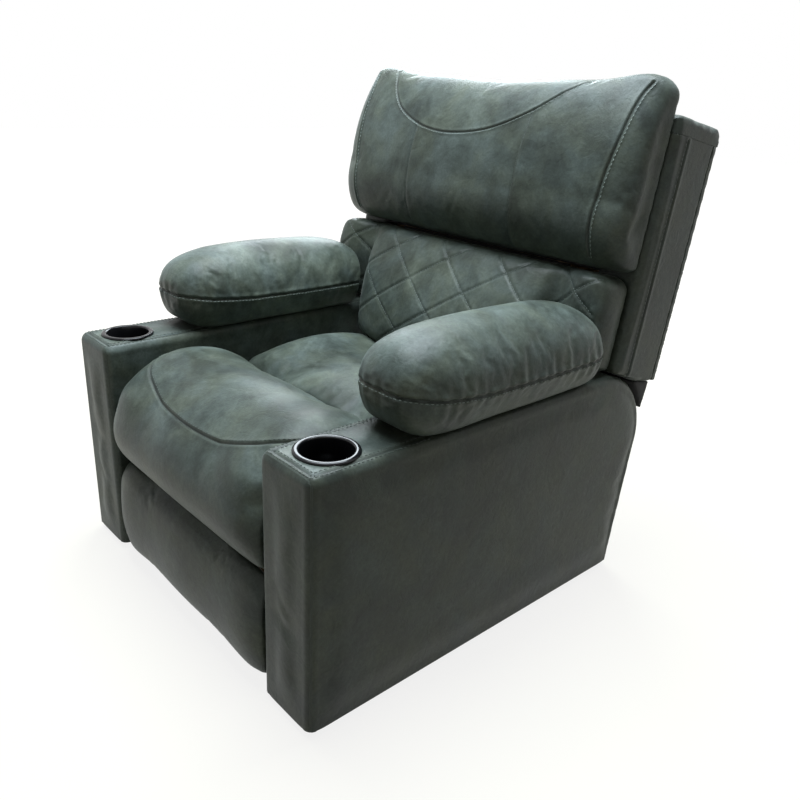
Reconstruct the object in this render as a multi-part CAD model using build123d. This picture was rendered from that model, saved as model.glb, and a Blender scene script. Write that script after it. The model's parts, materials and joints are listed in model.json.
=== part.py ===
from build123d import *
import math
import os

# Recliner chair with pillow arms, cup holders, a swing-out footrest and a reclining back.
# Millimetres, +Z up, the chair faces -Y and +X is the sitter's left.
# Pieces are drawn with depth 0 at the front face of the arms, and moved to the floor centre when written.

# Arms
arm_span = 860.0
arm_width = 140.0
deck_height = 483.0
floor_gap = 15.0
arm_foot_depth = 845.0
arm_rear_radius = 160.0
arm_edge_radius = 13.0
cover_thickness = 8.0
cover_clearance = 0.3
panel_thickness = 12.0
top_board_thickness = 18.0
post_thickness = 20.0
rear_post_depth = 640.0
glide_radius = 16.0
glide_inset = 32.0

# Cup holders
cup_depth_in_arm = 81.0
cup_bore_radius = 43.5
cup_wall = 1.6
cup_flange_radius = 54.2
cup_flange_height = 4.0
cup_deep = 72.0
cup_clearance = 0.3

# Arm pads
pad_front = 178.0
pad_rear = 698.0
pad_half_width = 97.0
pad_height = 166.0
pad_seam_height = 62.0
pad_nose_rise = 18.0
pad_lift = 0.3

# Seat, with heights above its base
seat_side_gap = 6.0
seat_drop = 153.0
seat_rear = 690.0
seat_crown = 20.0
seat_bulge = 22.0
front_crest = (170.0, 111.0)
rear_crest = (440.0, 74.0)
seat_valley = (303.0, 49.0)
seat_rear_top = 48.0
seat_brow = (34.0, 58.0)
drape_middle = -18.0
drape_hem = (12.0, -85.0)
drape_thickness = 38.0
seat_rail_width = 40.0
seat_rail_height = 40.0
seat_frame_front = 70.0
seat_frame_rear = 660.0
seat_cross_width = 36.0
spring_wire = 2.0
spring_count = 5
spring_swing = 22.0
spring_bends = 14
spring_spacing = 84.0
spring_drop = 8.0

# Base and mechanism
tube_width = 30.0
tube_height = 30.0
tube_wall = 2.0
tube_floor_gap = 40.0
front_tube_depth = 280.0
rear_tube_depth = 680.0
flange_reach = 16.0
flange_thickness = 3.0
plate_thickness = 4.0
plate_inset = 18.0
plate_bar_height = 40.0
plate_bar_drop = 28.0
plate_front = 86.0
lobe_radius = 18.0
bolt_radius = 4.0
bolt_head_radius = 7.0
bolt_head_height = 4.0
bolt_clearance = 0.2
seat_bolt_reach = 28.0

# Recline hinge
hinge_depth = 725.0
hinge_bolt_radius = 6.0
hinge_bolt_head = 11.0
hinge_bolt_head_height = 5.0
running_clearance = 0.06
washer_thickness = 1.4
washer_radius = 16.0
side_play = 0.3
nut_thickness = 7.0

# Footrest linkage
drive_pivot_depth = 110.0
drive_pivot_drop = 120.0
drive_link_length = 165.0
drive_tube_radius = 9.0
drive_tube_wall = 1.6
ottoman_pivot_depth = 87.0
ottoman_pivot_drop = 122.0
link_radius = 10.0
link_play = 2.0
rivet_radius = 4.0
rivet_head_radius = 7.5
rivet_head_height = 1.4
footrest_low = 20.0
footrest_gap = 16.0
footrest_pad_depth = 33.0
footrest_bulge = 8.0
footrest_board_thickness = 12.0
footrest_board_edge = 12.0
footrest_round = 40.0
bracket_flange_width = 22.0
bracket_low = 74.0
bracket_head = 33.0

# Release lever on the sitter's right
lever_pivot_depth = 260.0
lever_pivot_drop = 60.0
lever_shaft_radius = 7.0
lever_length = 150.0
lever_thickness = 14.0
lever_root_radius = 17.0
lever_tip_radius = 12.0
lever_tilt = 5.0
bezel_radius = 24.0
bezel_thickness = 3.0
crank_length = 40.0
rod_half_width = 8.0

# Back
back_lean = 9.5
back_depth = 166.0
back_panel_thickness = 16.0
wing_width = 100.0
wing_bottom = 147.0
wing_top = 636.0
wing_arm_clearance = 12.0
roll_height = 34.0
roll_front = 14.0
roll_overhang = 6.0
post_inner = 226.0
post_depth = 36.0
post_front = 6.0
back_post_low = 42.0
back_post_high = 632.0
back_rail_height = 44.0
back_rail_depth = 24.0
middle_rail_low = 350.0
bottom_rail_low = 110.0
strap_thickness = 3.0
strap_height = 50.0
strap_levels = (170.0, 240.0, 310.0, 430.0, 510.0)
back_bracket_high = 170.0
back_bracket_width = 36.0
wrap_clearance = 6.0
wrap_low_angle = 30.0
wrap_side_gap = 3.0
dust_cover_thickness = 3.0
dust_cover_low = 15.0
dust_cover_lap = 40.0

# Back cushions
lumbar_top = 360.0
lumbar_bottom = 68.0
lumbar_wing_bottom = 168.0
lumbar_half_width = 415.0
lumbar_belly = 152.0
lumbar_brow = 96.0
lumbar_wing_front = 40.0
lumbar_edge_front = 50.0
quilt_pitch = 172.0
quilt_angle = 54.0
quilt_crossing = 193.0
quilt_width = 6.0
quilt_depth = 5.0
headrest_bottom = 364.5
headrest_top = 722.0
headrest_ear = 14.0
headrest_half_width = 420.0
headrest_front = 104.0
headrest_edge_front = 62.0

# Places worked out from the sizes above
hinge_height = deck_height - arm_rear_radius
arm_outer = arm_span / 2
arm_inner = arm_outer - arm_width
arm_middle = (arm_outer + arm_inner) / 2
seat_half_width = arm_inner - seat_side_gap
cavity_inset = cover_thickness + cover_clearance
board_inner = arm_inner + cavity_inset + panel_thickness
board_outer = arm_outer - cavity_inset - panel_thickness
board_top = deck_height - cavity_inset
board_bottom = board_top - top_board_thickness
tube_top = tube_floor_gap + tube_height
seat_base = deck_height - seat_drop
plate_bar_high = seat_base - plate_bar_drop
plate_bar_low = plate_bar_high - plate_bar_height
drive_pivot = (drive_pivot_depth, seat_base - drive_pivot_drop)
ottoman_pivot = (ottoman_pivot_depth, seat_base - ottoman_pivot_drop)
lever_pivot = (lever_pivot_depth, seat_base - lever_pivot_drop)
footrest_high = seat_base + drape_hem[1] - footrest_gap
bracket_high = footrest_high - bracket_head
plate_outer = arm_inner - plate_inset
plate_inner = plate_outer - plate_thickness
drive_outer = plate_inner - link_play
drive_inner = drive_outer - plate_thickness
ottoman_outer = drive_inner - link_play
ottoman_inner = ottoman_outer - plate_thickness
bracket_outer = ottoman_inner - link_play
bracket_inner = bracket_outer - plate_thickness
link_joint = (drive_pivot[0], drive_pivot[1] - drive_link_length)
back_bracket_outer = plate_inner - washer_thickness - 2 * side_play
back_bracket_inner = back_bracket_outer - plate_thickness
back_face = post_front - strap_thickness
lean = math.radians(back_lean)
parts = {}


# Drawing helpers
def side_plane(x):
    return Plane.YZ.offset(x)


def back_plane(x):
    """Plane across the back at one width: first axis rearwards, second up along the leaning back."""
    return Plane(
        origin=(x, hinge_depth, hinge_height),
        x_dir=(0, math.cos(lean), -math.sin(lean)),
        z_dir=(1, 0, 0),
    )


def between(face, x_low, x_high, plane=side_plane):
    return extrude(plane(x_low) * face, amount=x_high - x_low)


def rect(a_low, a_high, b_low, b_high):
    centre = Pos((a_low + a_high) / 2, (b_low + b_high) / 2)
    return centre * Rectangle(a_high - a_low, b_high - b_low)


def disc(point, radius):
    return Pos(*point) * Circle(radius)


def strip(start, end, radius):
    """Flat bar with round ends about two points."""
    across = end[0] - start[0]
    rise = end[1] - start[1]
    turn = math.degrees(math.atan2(rise, across))
    middle = Pos((start[0] + end[0]) / 2, (start[1] + end[1]) / 2)
    return middle * Rot(0, 0, turn) * SlotCenterToCenter(math.hypot(across, rise), 2 * radius)


def outline(*points):
    return make_face(Polyline(*points, close=True))


def other_side(piece):
    return mirror(piece, about=Plane.YZ)


def pair(name, piece):
    parts[name + "_left"] = piece
    parts[name + "_right"] = other_side(piece)


def pin(point, radius, x_low, x_high, plane=side_plane):
    return between(disc(point, radius), x_low, x_high, plane)


# Where the base tubes bolt to the arms
def tube_bolt_points():
    level = tube_floor_gap + tube_height / 2
    points = []
    for tube in (front_tube_depth, rear_tube_depth):
        middle = tube + tube_width / 2
        reach = tube_width / 2 + flange_reach / 2
        points += [(middle - reach, level), (middle + reach, level)]
    return points


def bolt_holes(x_low, x_high):
    radius = bolt_radius + bolt_clearance
    return [pin(point, radius, x_low, x_high) for point in tube_bolt_points()]


# Arm boxes
def rear_edge(height):
    share = (height - floor_gap) / (hinge_height - floor_gap)
    return arm_foot_depth + share * (hinge_depth + arm_rear_radius - arm_foot_depth)


def arm_face(inset, low):
    """Side outline of the arm, drawn in by an inset; its rear corner is round about the recline axis."""
    radius = arm_rear_radius - inset
    diagonal = radius * math.sqrt(0.5)
    top = deck_height - inset
    corner = (hinge_depth + radius, hinge_height)
    crown = (hinge_depth, top)
    foot = (rear_edge(low) - inset, low)
    return make_face(
        [
            Line((inset, low), foot),
            Line(foot, corner),
            ThreePointArc(corner, (hinge_depth + diagonal, hinge_height + diagonal), crown),
            Line(crown, (inset, top)),
            Line((inset, top), (inset, low)),
        ]
    )


cup_centre = (arm_middle, cup_depth_in_arm)
cup_outer_radius = cup_bore_radius + cup_wall
cup_hole = Pos(*cup_centre, deck_height) * Cylinder(cup_outer_radius + cup_clearance, 2 * cup_deep)


def arm_cover():
    box = between(arm_face(0, floor_gap), arm_inner, arm_outer)
    bottom = box.faces().sort_by(Axis.Z)[0]
    hem = [edge.center() for edge in bottom.edges()]
    sides = box.faces().filter_by(Axis.X).edges()
    soft = [edge for edge in sides if all((edge.center() - point).length > 1 for point in hem)]
    box = fillet(soft, arm_edge_radius)
    cavity = between(
        arm_face(cover_thickness, floor_gap - cover_thickness),
        arm_inner + cover_thickness,
        arm_outer - cover_thickness,
    )
    return box - cavity - cup_hole


def arm_panel(x_low):
    return between(arm_face(cavity_inset, floor_gap), x_low, x_low + panel_thickness)


def arm_block(depth_low, depth_high, low, high):
    return between(rect(depth_low, depth_high, low, high), board_inner, board_outer)


cover = arm_cover() - bolt_holes(arm_inner - cover_thickness, arm_middle)
inner_panel = arm_panel(arm_inner + cavity_inset) - bolt_holes(arm_inner, arm_middle)
outer_panel = arm_panel(board_outer)
lever_hole = pin(lever_pivot, lever_shaft_radius + cup_clearance, -arm_span, 0)
pair("arm_cover", cover)
pair("arm_inner_panel", inner_panel)
pair("arm_outer_panel", outer_panel)
for drilled in ("arm_cover_right", "arm_inner_panel_right", "arm_outer_panel_right"):
    parts[drilled] = parts[drilled] - lever_hole
pair("arm_top_board", arm_block(cavity_inset, hinge_depth, board_bottom, board_top) - cup_hole)
front_post = (cavity_inset, cavity_inset + post_thickness)
pair("arm_front_post", arm_block(*front_post, floor_gap, board_bottom))
rear_post = (rear_post_depth, rear_post_depth + 2 * post_thickness)
pair("arm_rear_post", arm_block(*rear_post, floor_gap, board_bottom))

# Floor glides under the posts
glides = []
for glide_depth in (glide_inset, rear_post_depth + post_thickness):
    for glide_x in (arm_middle, -arm_middle):
        low_end = Align.MIN
        glide = Cylinder(glide_radius, floor_gap, align=(Align.CENTER, Align.CENTER, low_end))
        glides.append(Pos(glide_x, glide_depth, 0) * chamfer(glide.edges().sort_by(Axis.Z)[0], floor_gap / 6))
parts["floor_glides"] = Compound(glides)


# Cup holders drop through the deck and hang on their flange
def cup_holder():
    on_deck = (Align.CENTER, Align.CENTER, Align.MIN)
    flange = Cylinder(cup_flange_radius, cup_flange_height, align=on_deck)
    flange = fillet(flange.edges().sort_by(Axis.Z)[-1], cup_flange_height * 0.6)
    below = (Align.CENTER, Align.CENTER, Align.MAX)
    body = flange + Cylinder(cup_outer_radius, cup_deep, align=below)
    bore = Pos(0, 0, cup_wall - cup_deep) * Cylinder(cup_bore_radius, 2 * cup_deep, align=on_deck)
    return Pos(*cup_centre, deck_height) * (body - bore)


pair("cup_holder", cup_holder())


# Pillow pads over the arms, with round ends that lift off the deck
def pad_section(depth, width_share, lift, seam_height, top_height):
    half = pad_half_width * width_share
    foot = half * 0.62
    low = deck_height + pad_lift + lift
    seam = deck_height + seam_height
    top = deck_height + top_height
    shoulder = (half * 0.72, seam + (top - seam) * 0.74)
    lower_side = (half * 0.9, low + (seam - low) * 0.38)
    upper_side = (half * 0.94, seam + (top - seam) * 0.42)

    def left(point):
        return (-point[0], point[1])

    face = make_face(
        [
            Line((-foot, low), (foot, low)),
            ThreePointArc((foot, low), lower_side, (half, seam)),
            ThreePointArc((half, seam), upper_side, shoulder),
            ThreePointArc(shoulder, (0, top), left(shoulder)),
            ThreePointArc(left(shoulder), left(upper_side), (-half, seam)),
            ThreePointArc((-half, seam), left(lower_side), (-foot, low)),
        ]
    )
    return Plane(origin=(arm_middle, depth, 0), x_dir=(1, 0, 0), z_dir=(0, -1, 0)) * face


def arm_pad():
    length = pad_rear - pad_front
    seam = pad_seam_height
    nose = pad_seam_height + pad_nose_rise
    top = pad_height
    shape = (
        (0.0, 0.36, nose * 0.72, nose, nose * 1.3),
        (0.02, 0.58, nose * 0.42, nose, top * 0.74),
        (0.06, 0.79, nose * 0.13, nose * 0.97, top * 0.86),
        (0.13, 0.93, 0.0, nose * 0.9, top * 0.94),
        (0.32, 1.0, 0.0, seam * 1.03, top),
        (0.62, 1.0, 0.0, seam, top * 0.99),
        (0.85, 0.97, 0.0, seam, top * 0.93),
        (0.95, 0.86, seam * 0.12, seam, top * 0.8),
        (0.985, 0.66, seam * 0.4, seam, top * 0.67),
        (1.0, 0.42, seam * 0.7, seam, seam * 1.36),
    )
    pillow = loft([pad_section(pad_front + length * row[0], *row[1:]) for row in shape])
    deck = Box(arm_span, 2 * length, 2 * pad_height, align=(Align.CENTER, Align.CENTER, Align.MAX))
    return pillow - Pos(arm_middle, (pad_front + pad_rear) / 2, deck_height + pad_lift) * deck


pair("arm_pad", arm_pad())


# Base tubes with end flanges, bolted between the arms
def base_tube(front):
    middle = front + tube_width / 2
    low = tube_floor_gap
    shell = rect(front, front + tube_width, low, tube_top)
    shell -= rect(front + tube_wall, front + tube_width - tube_wall, low + tube_wall, tube_top - tube_wall)
    reach = tube_width / 2 + flange_reach
    flange = between(
        rect(middle - reach, middle + reach, low, tube_top), arm_inner - flange_thickness, arm_inner
    )
    flange -= bolt_holes(arm_inner - 2 * flange_thickness, arm_inner + flange_thickness)
    run = between(shell, flange_thickness - arm_inner, arm_inner - flange_thickness)
    return run + flange + other_side(flange)


parts["base_tubes"] = Compound([base_tube(front_tube_depth), base_tube(rear_tube_depth)])


def bolt(point, head_at, reach, sense):
    """Bolt along X with its head on the near side of head_at, seen from the way it points."""
    start = min(head_at, head_at + sense * reach)
    shank = pin(point, bolt_radius, start, start + reach)
    head_low = head_at - bolt_head_height if sense > 0 else head_at
    return shank + pin(point, bolt_head_radius, head_low, head_low + bolt_head_height)


seat_rail_low = seat_base - seat_rail_height
seat_bolt_level = (seat_rail_low + plate_bar_high) / 2
seat_bolt_points = [
    (front_tube_depth - 4 * tube_width, seat_bolt_level),
    (rear_tube_depth - 3 * tube_width, seat_bolt_level),
]
tube_bolt_reach = flange_thickness + cavity_inset + panel_thickness
bolts = [bolt(point, arm_inner - flange_thickness, tube_bolt_reach, 1) for point in tube_bolt_points()]
bolts += [bolt(point, plate_outer, seat_bolt_reach, -1) for point in seat_bolt_points]
parts["frame_bolts"] = Compound(bolts + [other_side(piece) for piece in bolts])


def seat_bolt_holes():
    radius = bolt_radius + bolt_clearance
    deep = plate_outer - seat_bolt_reach - bolt_clearance
    return [pin(point, radius, deep, plate_outer + bolt_clearance) for point in seat_bolt_points]


# Mechanism plates carry the seat, the drive tube and the recline bolts
hinge_point = (hinge_depth, hinge_height)
plate_face = rect(plate_front, hinge_depth, plate_bar_low, plate_bar_high)
plate_face += strip(drive_pivot, (drive_pivot[0], plate_bar_low + lobe_radius), lobe_radius)
plate_face += strip(hinge_point, (hinge_depth - lobe_radius, plate_bar_low + lobe_radius), lobe_radius)
plate_face -= disc(drive_pivot, drive_tube_radius + running_clearance)
plate_face -= disc(hinge_point, hinge_bolt_radius + running_clearance)
pair("mechanism_plate", between(plate_face, plate_inner, plate_outer) - seat_bolt_holes())
legs = []
for leg_depth in (front_tube_depth, rear_tube_depth):
    leg = rect(leg_depth, leg_depth + tube_width, tube_top, plate_bar_low)
    legs.append(between(leg, plate_inner, plate_outer))
parts["mechanism_legs"] = Compound(legs + [other_side(piece) for piece in legs])

# Seat frame
rail_inner = plate_inner - seat_rail_width
side_rail = between(rect(seat_frame_front, seat_frame_rear, seat_rail_low, seat_base), rail_inner, plate_inner)
pair("seat_rail", side_rail - seat_bolt_holes())
front_cross = (seat_frame_front, seat_frame_front + seat_cross_width)
rear_cross = (seat_frame_rear - seat_cross_width, seat_frame_rear)
cross_rails = [
    between(rect(*reach, seat_rail_low, seat_base), -rail_inner, rail_inner)
    for reach in (front_cross, rear_cross)
]
parts["seat_cross_rails"] = Compound(cross_rails)


# Sinuous springs between the cross rails
def seat_spring(x):
    start = front_cross[1]
    end = rear_cross[0]
    level = seat_base - spring_drop
    step = (end - start) / (spring_bends + 1)
    lead = step * 0.4
    points = [(x, start, level), (x, start + lead, level)]
    for bend in range(1, spring_bends + 1):
        swing = spring_swing if bend % 2 else -spring_swing
        points += [(x + swing, start + step * (bend - 0.25), level)]
        points += [(x + swing, start + step * (bend + 0.25), level)]
    points += [(x, end - lead, level), (x, end, level)]
    path = FilletPolyline(*points, radius=step * 0.22)
    return sweep(Plane(path @ 0, z_dir=path % 0) * Circle(spring_wire), path=path)


spring_middle = (spring_count - 1) / 2
springs = [seat_spring((index - spring_middle) * spring_spacing) for index in range(spring_count)]
parts["seat_springs"] = Compound(springs)


# Seat cushion: two lobes with a sewn valley between, and a front that rolls over and hangs
def seat_section(x, crown, bulge, valley_lift):
    dip = (seat_valley[0], seat_valley[1] + valley_lift)
    brow = (seat_brow[0] - bulge / 2, seat_brow[1] + crown * 0.7)
    rear_top = seat_rear_top + crown * 0.3
    hem_back = drape_hem[0] + drape_thickness
    face = make_face(
        [
            Line((seat_rear, 0), (seat_rear, rear_top)),
            ThreePointArc((seat_rear, rear_top), (rear_crest[0], rear_crest[1] + crown), dip),
            ThreePointArc(dip, (front_crest[0], front_crest[1] + crown), brow),
            ThreePointArc(brow, (-bulge, drape_middle), drape_hem),
            Line(drape_hem, (hem_back, drape_hem[1])),
            Line((hem_back, drape_hem[1]), (hem_back, 0)),
            Line((hem_back, 0), (seat_rear, 0)),
        ]
    )
    return side_plane(x) * Pos(0, seat_base) * face


def seat_cushion():
    shape = ((1.0, -0.7, -0.35, 0.0), (0.93, 0.1, 0.3, 0.2), (0.5, 0.85, 0.9, 1.1), (0.0, 1.0, 1.0, 1.4))
    shape = shape + tuple((-x, c, b, v) for x, c, b, v in reversed(shape[:-1]))
    return loft(
        [
            seat_section(seat_half_width * x, seat_crown * c, seat_bulge * b, seat_crown * v)
            for x, c, b, v in reversed(shape)
        ]
    )


parts["seat_cushion"] = seat_cushion()

# Footrest linkage: a drive link and an ottoman link on each side, joined by the drive tube
tube_hole = disc(drive_pivot, drive_tube_radius + running_clearance)
rivet_hole = rivet_radius + running_clearance
drive_face = strip(drive_pivot, link_joint, link_radius) + disc(drive_pivot, lobe_radius - link_play)
drive_face = drive_face - tube_hole - disc(link_joint, rivet_hole)
pair("drive_link", between(drive_face, drive_inner, drive_outer))
ottoman_face = strip(link_joint, ottoman_pivot, link_radius)
ottoman_face = ottoman_face - disc(link_joint, rivet_hole) - disc(ottoman_pivot, rivet_hole)
pair("ottoman_link", between(ottoman_face, ottoman_inner, ottoman_outer))


def rivet(point, x_low, x_high):
    """Rivet through two plates that fill x_low to x_high, with a head beyond each and a collar between."""
    play = (link_play - rivet_head_height) / 2
    shank = pin(point, rivet_radius, x_low - play - rivet_head_height, x_high + play + rivet_head_height)
    inner_head = pin(point, rivet_head_radius, x_low - play - rivet_head_height, x_low - play)
    outer_head = pin(point, rivet_head_radius, x_high + play, x_high + play + rivet_head_height)
    collar_low = (x_low + x_high - rivet_head_height) / 2
    collar = pin(point, rivet_head_radius, collar_low, collar_low + rivet_head_height)
    return shank + inner_head + outer_head + collar


drive_rivet = rivet(link_joint, ottoman_inner, drive_outer)
parts["drive_rivets"] = Compound([drive_rivet, other_side(drive_rivet)])
footrest_rivet = rivet(ottoman_pivot, bracket_inner, ottoman_outer)
parts["footrest_rivets"] = Compound([footrest_rivet, other_side(footrest_rivet)])

# Drive tube with the horn that the lever's rod pulls, on the sitter's right
horn_inner = -plate_outer - link_play
horn_outer = horn_inner - plate_thickness
horn_pin = (drive_pivot[0] - crank_length, drive_pivot[1])
drive_tube_face = disc(drive_pivot, drive_tube_radius) - disc(drive_pivot, drive_tube_radius - drive_tube_wall)
drive_tube = between(drive_tube_face, horn_inner, plate_outer + link_play)
horn = strip(drive_pivot, horn_pin, link_radius) + disc(drive_pivot, lobe_radius - link_play)
drive_tube += between(horn, horn_outer, horn_inner)
rod_inner = horn_outer - side_play
rod_outer = rod_inner - plate_thickness
drive_tube += pin(horn_pin, rivet_radius, rod_outer, horn_outer)
parts["drive_tube"] = drive_tube

# Footrest panel on its brackets
board_front = footrest_pad_depth
board_rear = board_front + footrest_board_thickness
bracket_foot = board_rear + plate_thickness
bracket_face = outline(
    (board_rear, bracket_low),
    (board_rear, bracket_high),
    (ottoman_pivot[0] - link_radius, ottoman_pivot[1]),
    (ottoman_pivot[0], ottoman_pivot[1] - link_radius),
    (bracket_foot, bracket_low),
)
bracket_face += disc(ottoman_pivot, link_radius)
bracket_face -= disc(ottoman_pivot, rivet_hole)
bracket = between(bracket_face, bracket_inner, bracket_outer)
flange_face = rect(board_rear, bracket_foot, bracket_low, bracket_high - link_radius)
bracket += between(flange_face, bracket_outer - bracket_flange_width, bracket_outer)
pair("footrest_bracket", bracket)
footrest_face = rect(
    board_front,
    board_rear,
    footrest_low + footrest_board_edge,
    footrest_high - footrest_board_edge,
)
board_half = seat_half_width - footrest_board_edge
parts["footrest_board"] = between(footrest_face, -board_half, board_half)


def footrest_section(x, bulge, pull):
    low = footrest_low + pull
    high = footrest_high - pull
    shoulder = (footrest_round / 8 - bulge / 2, high - footrest_round)
    toe = (footrest_round / 4 - bulge / 2, low + footrest_round / 4)
    crown = (footrest_round / 2 - bulge / 2, high - footrest_round / 4)
    return side_plane(x) * make_face(
        [
            Line((board_front, low), (board_front, high)),
            ThreePointArc((board_front, high), crown, shoulder),
            ThreePointArc(shoulder, (-bulge, (low + high) / 2), toe),
            Line(toe, (board_front, low)),
        ]
    )


def footrest_pad():
    widths = (-1.0, -0.93, -0.5, 0.0, 0.5, 0.93, 1.0)
    sections = []
    for width in widths:
        edge = abs(width) == 1.0
        bulge = -footrest_bulge if edge else footrest_bulge * (1.1 - 0.8 * abs(width))
        sections.append(footrest_section(seat_half_width * width, bulge, footrest_bulge / 2 if edge else 0))
    return loft(sections)


parts["footrest_pad"] = footrest_pad()

# Lever, shaft and crank on the sitter's right, with the rod to the drive tube's horn
lever_face = make_hull(
    (disc((0, 0), lever_root_radius) + disc((-lever_length, 0), lever_tip_radius)).edges()
)
lever_face = Pos(*lever_pivot) * Rot(0, 0, -lever_tilt) * lever_face
lever_outer = -arm_outer - bezel_thickness - lever_thickness - side_play
lever = between(lever_face, lever_outer, lever_outer + lever_thickness)
lever = fillet(lever.faces().sort_by(Axis.X)[0].edges(), lever_thickness / 3)
lever -= pin(lever_pivot, lever_shaft_radius, lever_outer + lever_thickness / 2, 0)
parts["release_lever"] = lever
bezel_face = disc(lever_pivot, bezel_radius)
bezel_face -= disc(lever_pivot, lever_shaft_radius + running_clearance)
parts["lever_bezel"] = between(bezel_face, -arm_outer - bezel_thickness, -arm_outer)
shaft = pin(lever_pivot, lever_shaft_radius, lever_outer + lever_thickness / 2, horn_inner)
crank_pin = (lever_pivot[0] - crank_length, lever_pivot[1])
crank = strip(lever_pivot, crank_pin, link_radius) + disc(lever_pivot, lobe_radius - link_play)
shaft += between(crank, horn_outer, horn_inner)
shaft += pin(crank_pin, rivet_radius, rod_outer, horn_outer)
parts["lever_shaft"] = shaft
rod_face = strip(crank_pin, horn_pin, rod_half_width)
rod_face = rod_face - disc(crank_pin, rivet_hole) - disc(horn_pin, rivet_hole)
parts["drive_rod"] = between(rod_face, rod_outer, rod_inner)


# Back frame: posts, rails and straps
def back_between(face, x_low, x_high):
    return between(face, x_low, x_high, back_plane)


post_rear = post_front + post_depth
post_outer = back_bracket_inner
post_face = rect(post_front, post_rear, back_post_low, back_post_high)
pair("back_post", back_between(post_face, post_inner, post_outer))
wing_inner = arm_outer - wing_width
rail_rear = post_rear + back_rail_depth
top_rail_low = back_post_high - back_rail_height
top_rail = rect(post_rear, rail_rear, top_rail_low, back_post_high)
parts["back_rail_top"] = back_between(top_rail, -wing_inner, wing_inner)
middle_rail = rect(post_rear, rail_rear, middle_rail_low, middle_rail_low + back_rail_height)
parts["back_rail_middle"] = back_between(middle_rail, -wing_inner, wing_inner)
bottom_rail = rect(post_front, post_rear, bottom_rail_low, bottom_rail_low + back_rail_height)
parts["back_rail_bottom"] = back_between(bottom_rail, -post_inner, post_inner)
straps = []
for level in strap_levels:
    strap = rect(back_face, post_front, level, level + strap_height)
    straps.append(back_between(strap, -post_outer, post_outer))
parts["back_straps"] = Compound(straps)

# Steel brackets from the posts to the recline bolts
bracket_half = back_bracket_width / 2
bracket_middle = (post_front + post_rear) / 2
back_bracket_face = rect(
    bracket_middle - bracket_half, bracket_middle + bracket_half, back_post_low, back_bracket_high
)
back_bracket_face += strip((0, 0), (bracket_middle, back_post_low), lobe_radius)
back_bracket_face -= disc((0, 0), hinge_bolt_radius + running_clearance)
pair("back_bracket", back_between(back_bracket_face, back_bracket_inner, back_bracket_outer))

# Recline bolts with friction washers and lock nuts
nut_outer = back_bracket_inner - side_play
nut_inner = nut_outer - nut_thickness
hinge_bolt = pin(hinge_point, hinge_bolt_radius, nut_inner, plate_outer)
hinge_bolt += pin(hinge_point, hinge_bolt_head, plate_outer, plate_outer + hinge_bolt_head_height)
washer_face = disc(hinge_point, washer_radius) - disc(hinge_point, hinge_bolt_radius + running_clearance)
washer_low = back_bracket_outer + side_play
washer = between(washer_face, washer_low, washer_low + washer_thickness)
parts["friction_washers"] = Compound([washer, other_side(washer)])
nut_face = Pos(*hinge_point) * RegularPolygon(hinge_bolt_head, 6)
nut_face -= disc(hinge_point, hinge_bolt_radius + running_clearance)
nut = between(nut_face, nut_inner, nut_outer)
fasteners = [hinge_bolt, nut]
parts["recline_bolts_and_nuts"] = Compound(fasteners + [other_side(piece) for piece in fasteners])


# Wings sweep round the arms' rear corners, so their lower edge is an arc about the recline axis
def arc_at(radius, angle):
    return (radius * math.cos(math.radians(angle)), radius * math.sin(math.radians(angle)))


wing_radius = arm_rear_radius + wing_arm_clearance
panel_front = back_depth - back_panel_thickness


def wing():
    end_angle = math.degrees(math.acos(back_face / wing_radius))
    start_angle = math.degrees(math.asin(wing_bottom / wing_radius))
    arc_end = arc_at(wing_radius, end_angle)
    arc_start = arc_at(wing_radius, start_angle)
    face = make_face(
        [
            ThreePointArc(arc_end, arc_at(wing_radius, (start_angle + end_angle) / 2), arc_start),
            Line(arc_start, (panel_front, wing_bottom)),
            Line((panel_front, wing_bottom), (panel_front, wing_top)),
            Line((panel_front, wing_top), (back_face, wing_top)),
            Line((back_face, wing_top), arc_end),
        ]
    )
    body = back_between(face, wing_inner, arm_outer)
    upright = Axis((0, 0, 0), back_plane(0).y_dir)
    front_edge = body.edges().filter_by(upright).sort_by(Axis.Y)[:2].sort_by(Axis.X)[-1]
    return fillet(front_edge, arm_edge_radius * 1.5)


pair("back_wing", wing())
outer_panel_face = rect(panel_front, back_depth, wing_bottom, wing_top)
rear_panel = back_between(outer_panel_face, -arm_outer, arm_outer)
rear_edges = rear_panel.edges().filter_by(Axis((0, 0, 0), back_plane(0).y_dir)).sort_by(Axis.Y)[-2:]
parts["back_outer_panel"] = fillet(rear_edges, back_panel_thickness * 0.7)
roll_face = rect(roll_front, back_depth + roll_overhang, wing_top, wing_top + roll_height)
roll_face = fillet(roll_face.vertices(), roll_height * 0.45)
parts["back_top_roll"] = back_between(roll_face, -arm_outer, arm_outer)

# Black cloth under the wings and behind the mechanism
wrap_radius = arm_rear_radius + wrap_clearance
wrap_top_angle = math.degrees(math.asin(wing_bottom / wing_radius))
wrap_start = arc_at(wrap_radius, wrap_low_angle)
wrap_end = arc_at(wing_radius, wrap_top_angle)
wrap_middle = arc_at(wrap_radius, (wrap_low_angle + wrap_top_angle) / 2)
wrap_face = make_face(
    [
        ThreePointArc(wrap_start, wrap_middle, wrap_end),
        Line(wrap_end, (panel_front, wing_bottom)),
        Line((panel_front, wing_bottom), wrap_start),
    ]
)
wrap = back_between(wrap_face, arm_inner + wrap_side_gap, arm_outer - wrap_side_gap)
parts["wing_underwraps"] = Compound([wrap, other_side(wrap)])
dust_face = rect(
    panel_front - dust_cover_thickness, panel_front, dust_cover_low, wing_bottom + dust_cover_lap
)
parts["back_dust_cover"] = back_between(dust_face, -seat_half_width, seat_half_width)


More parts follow.
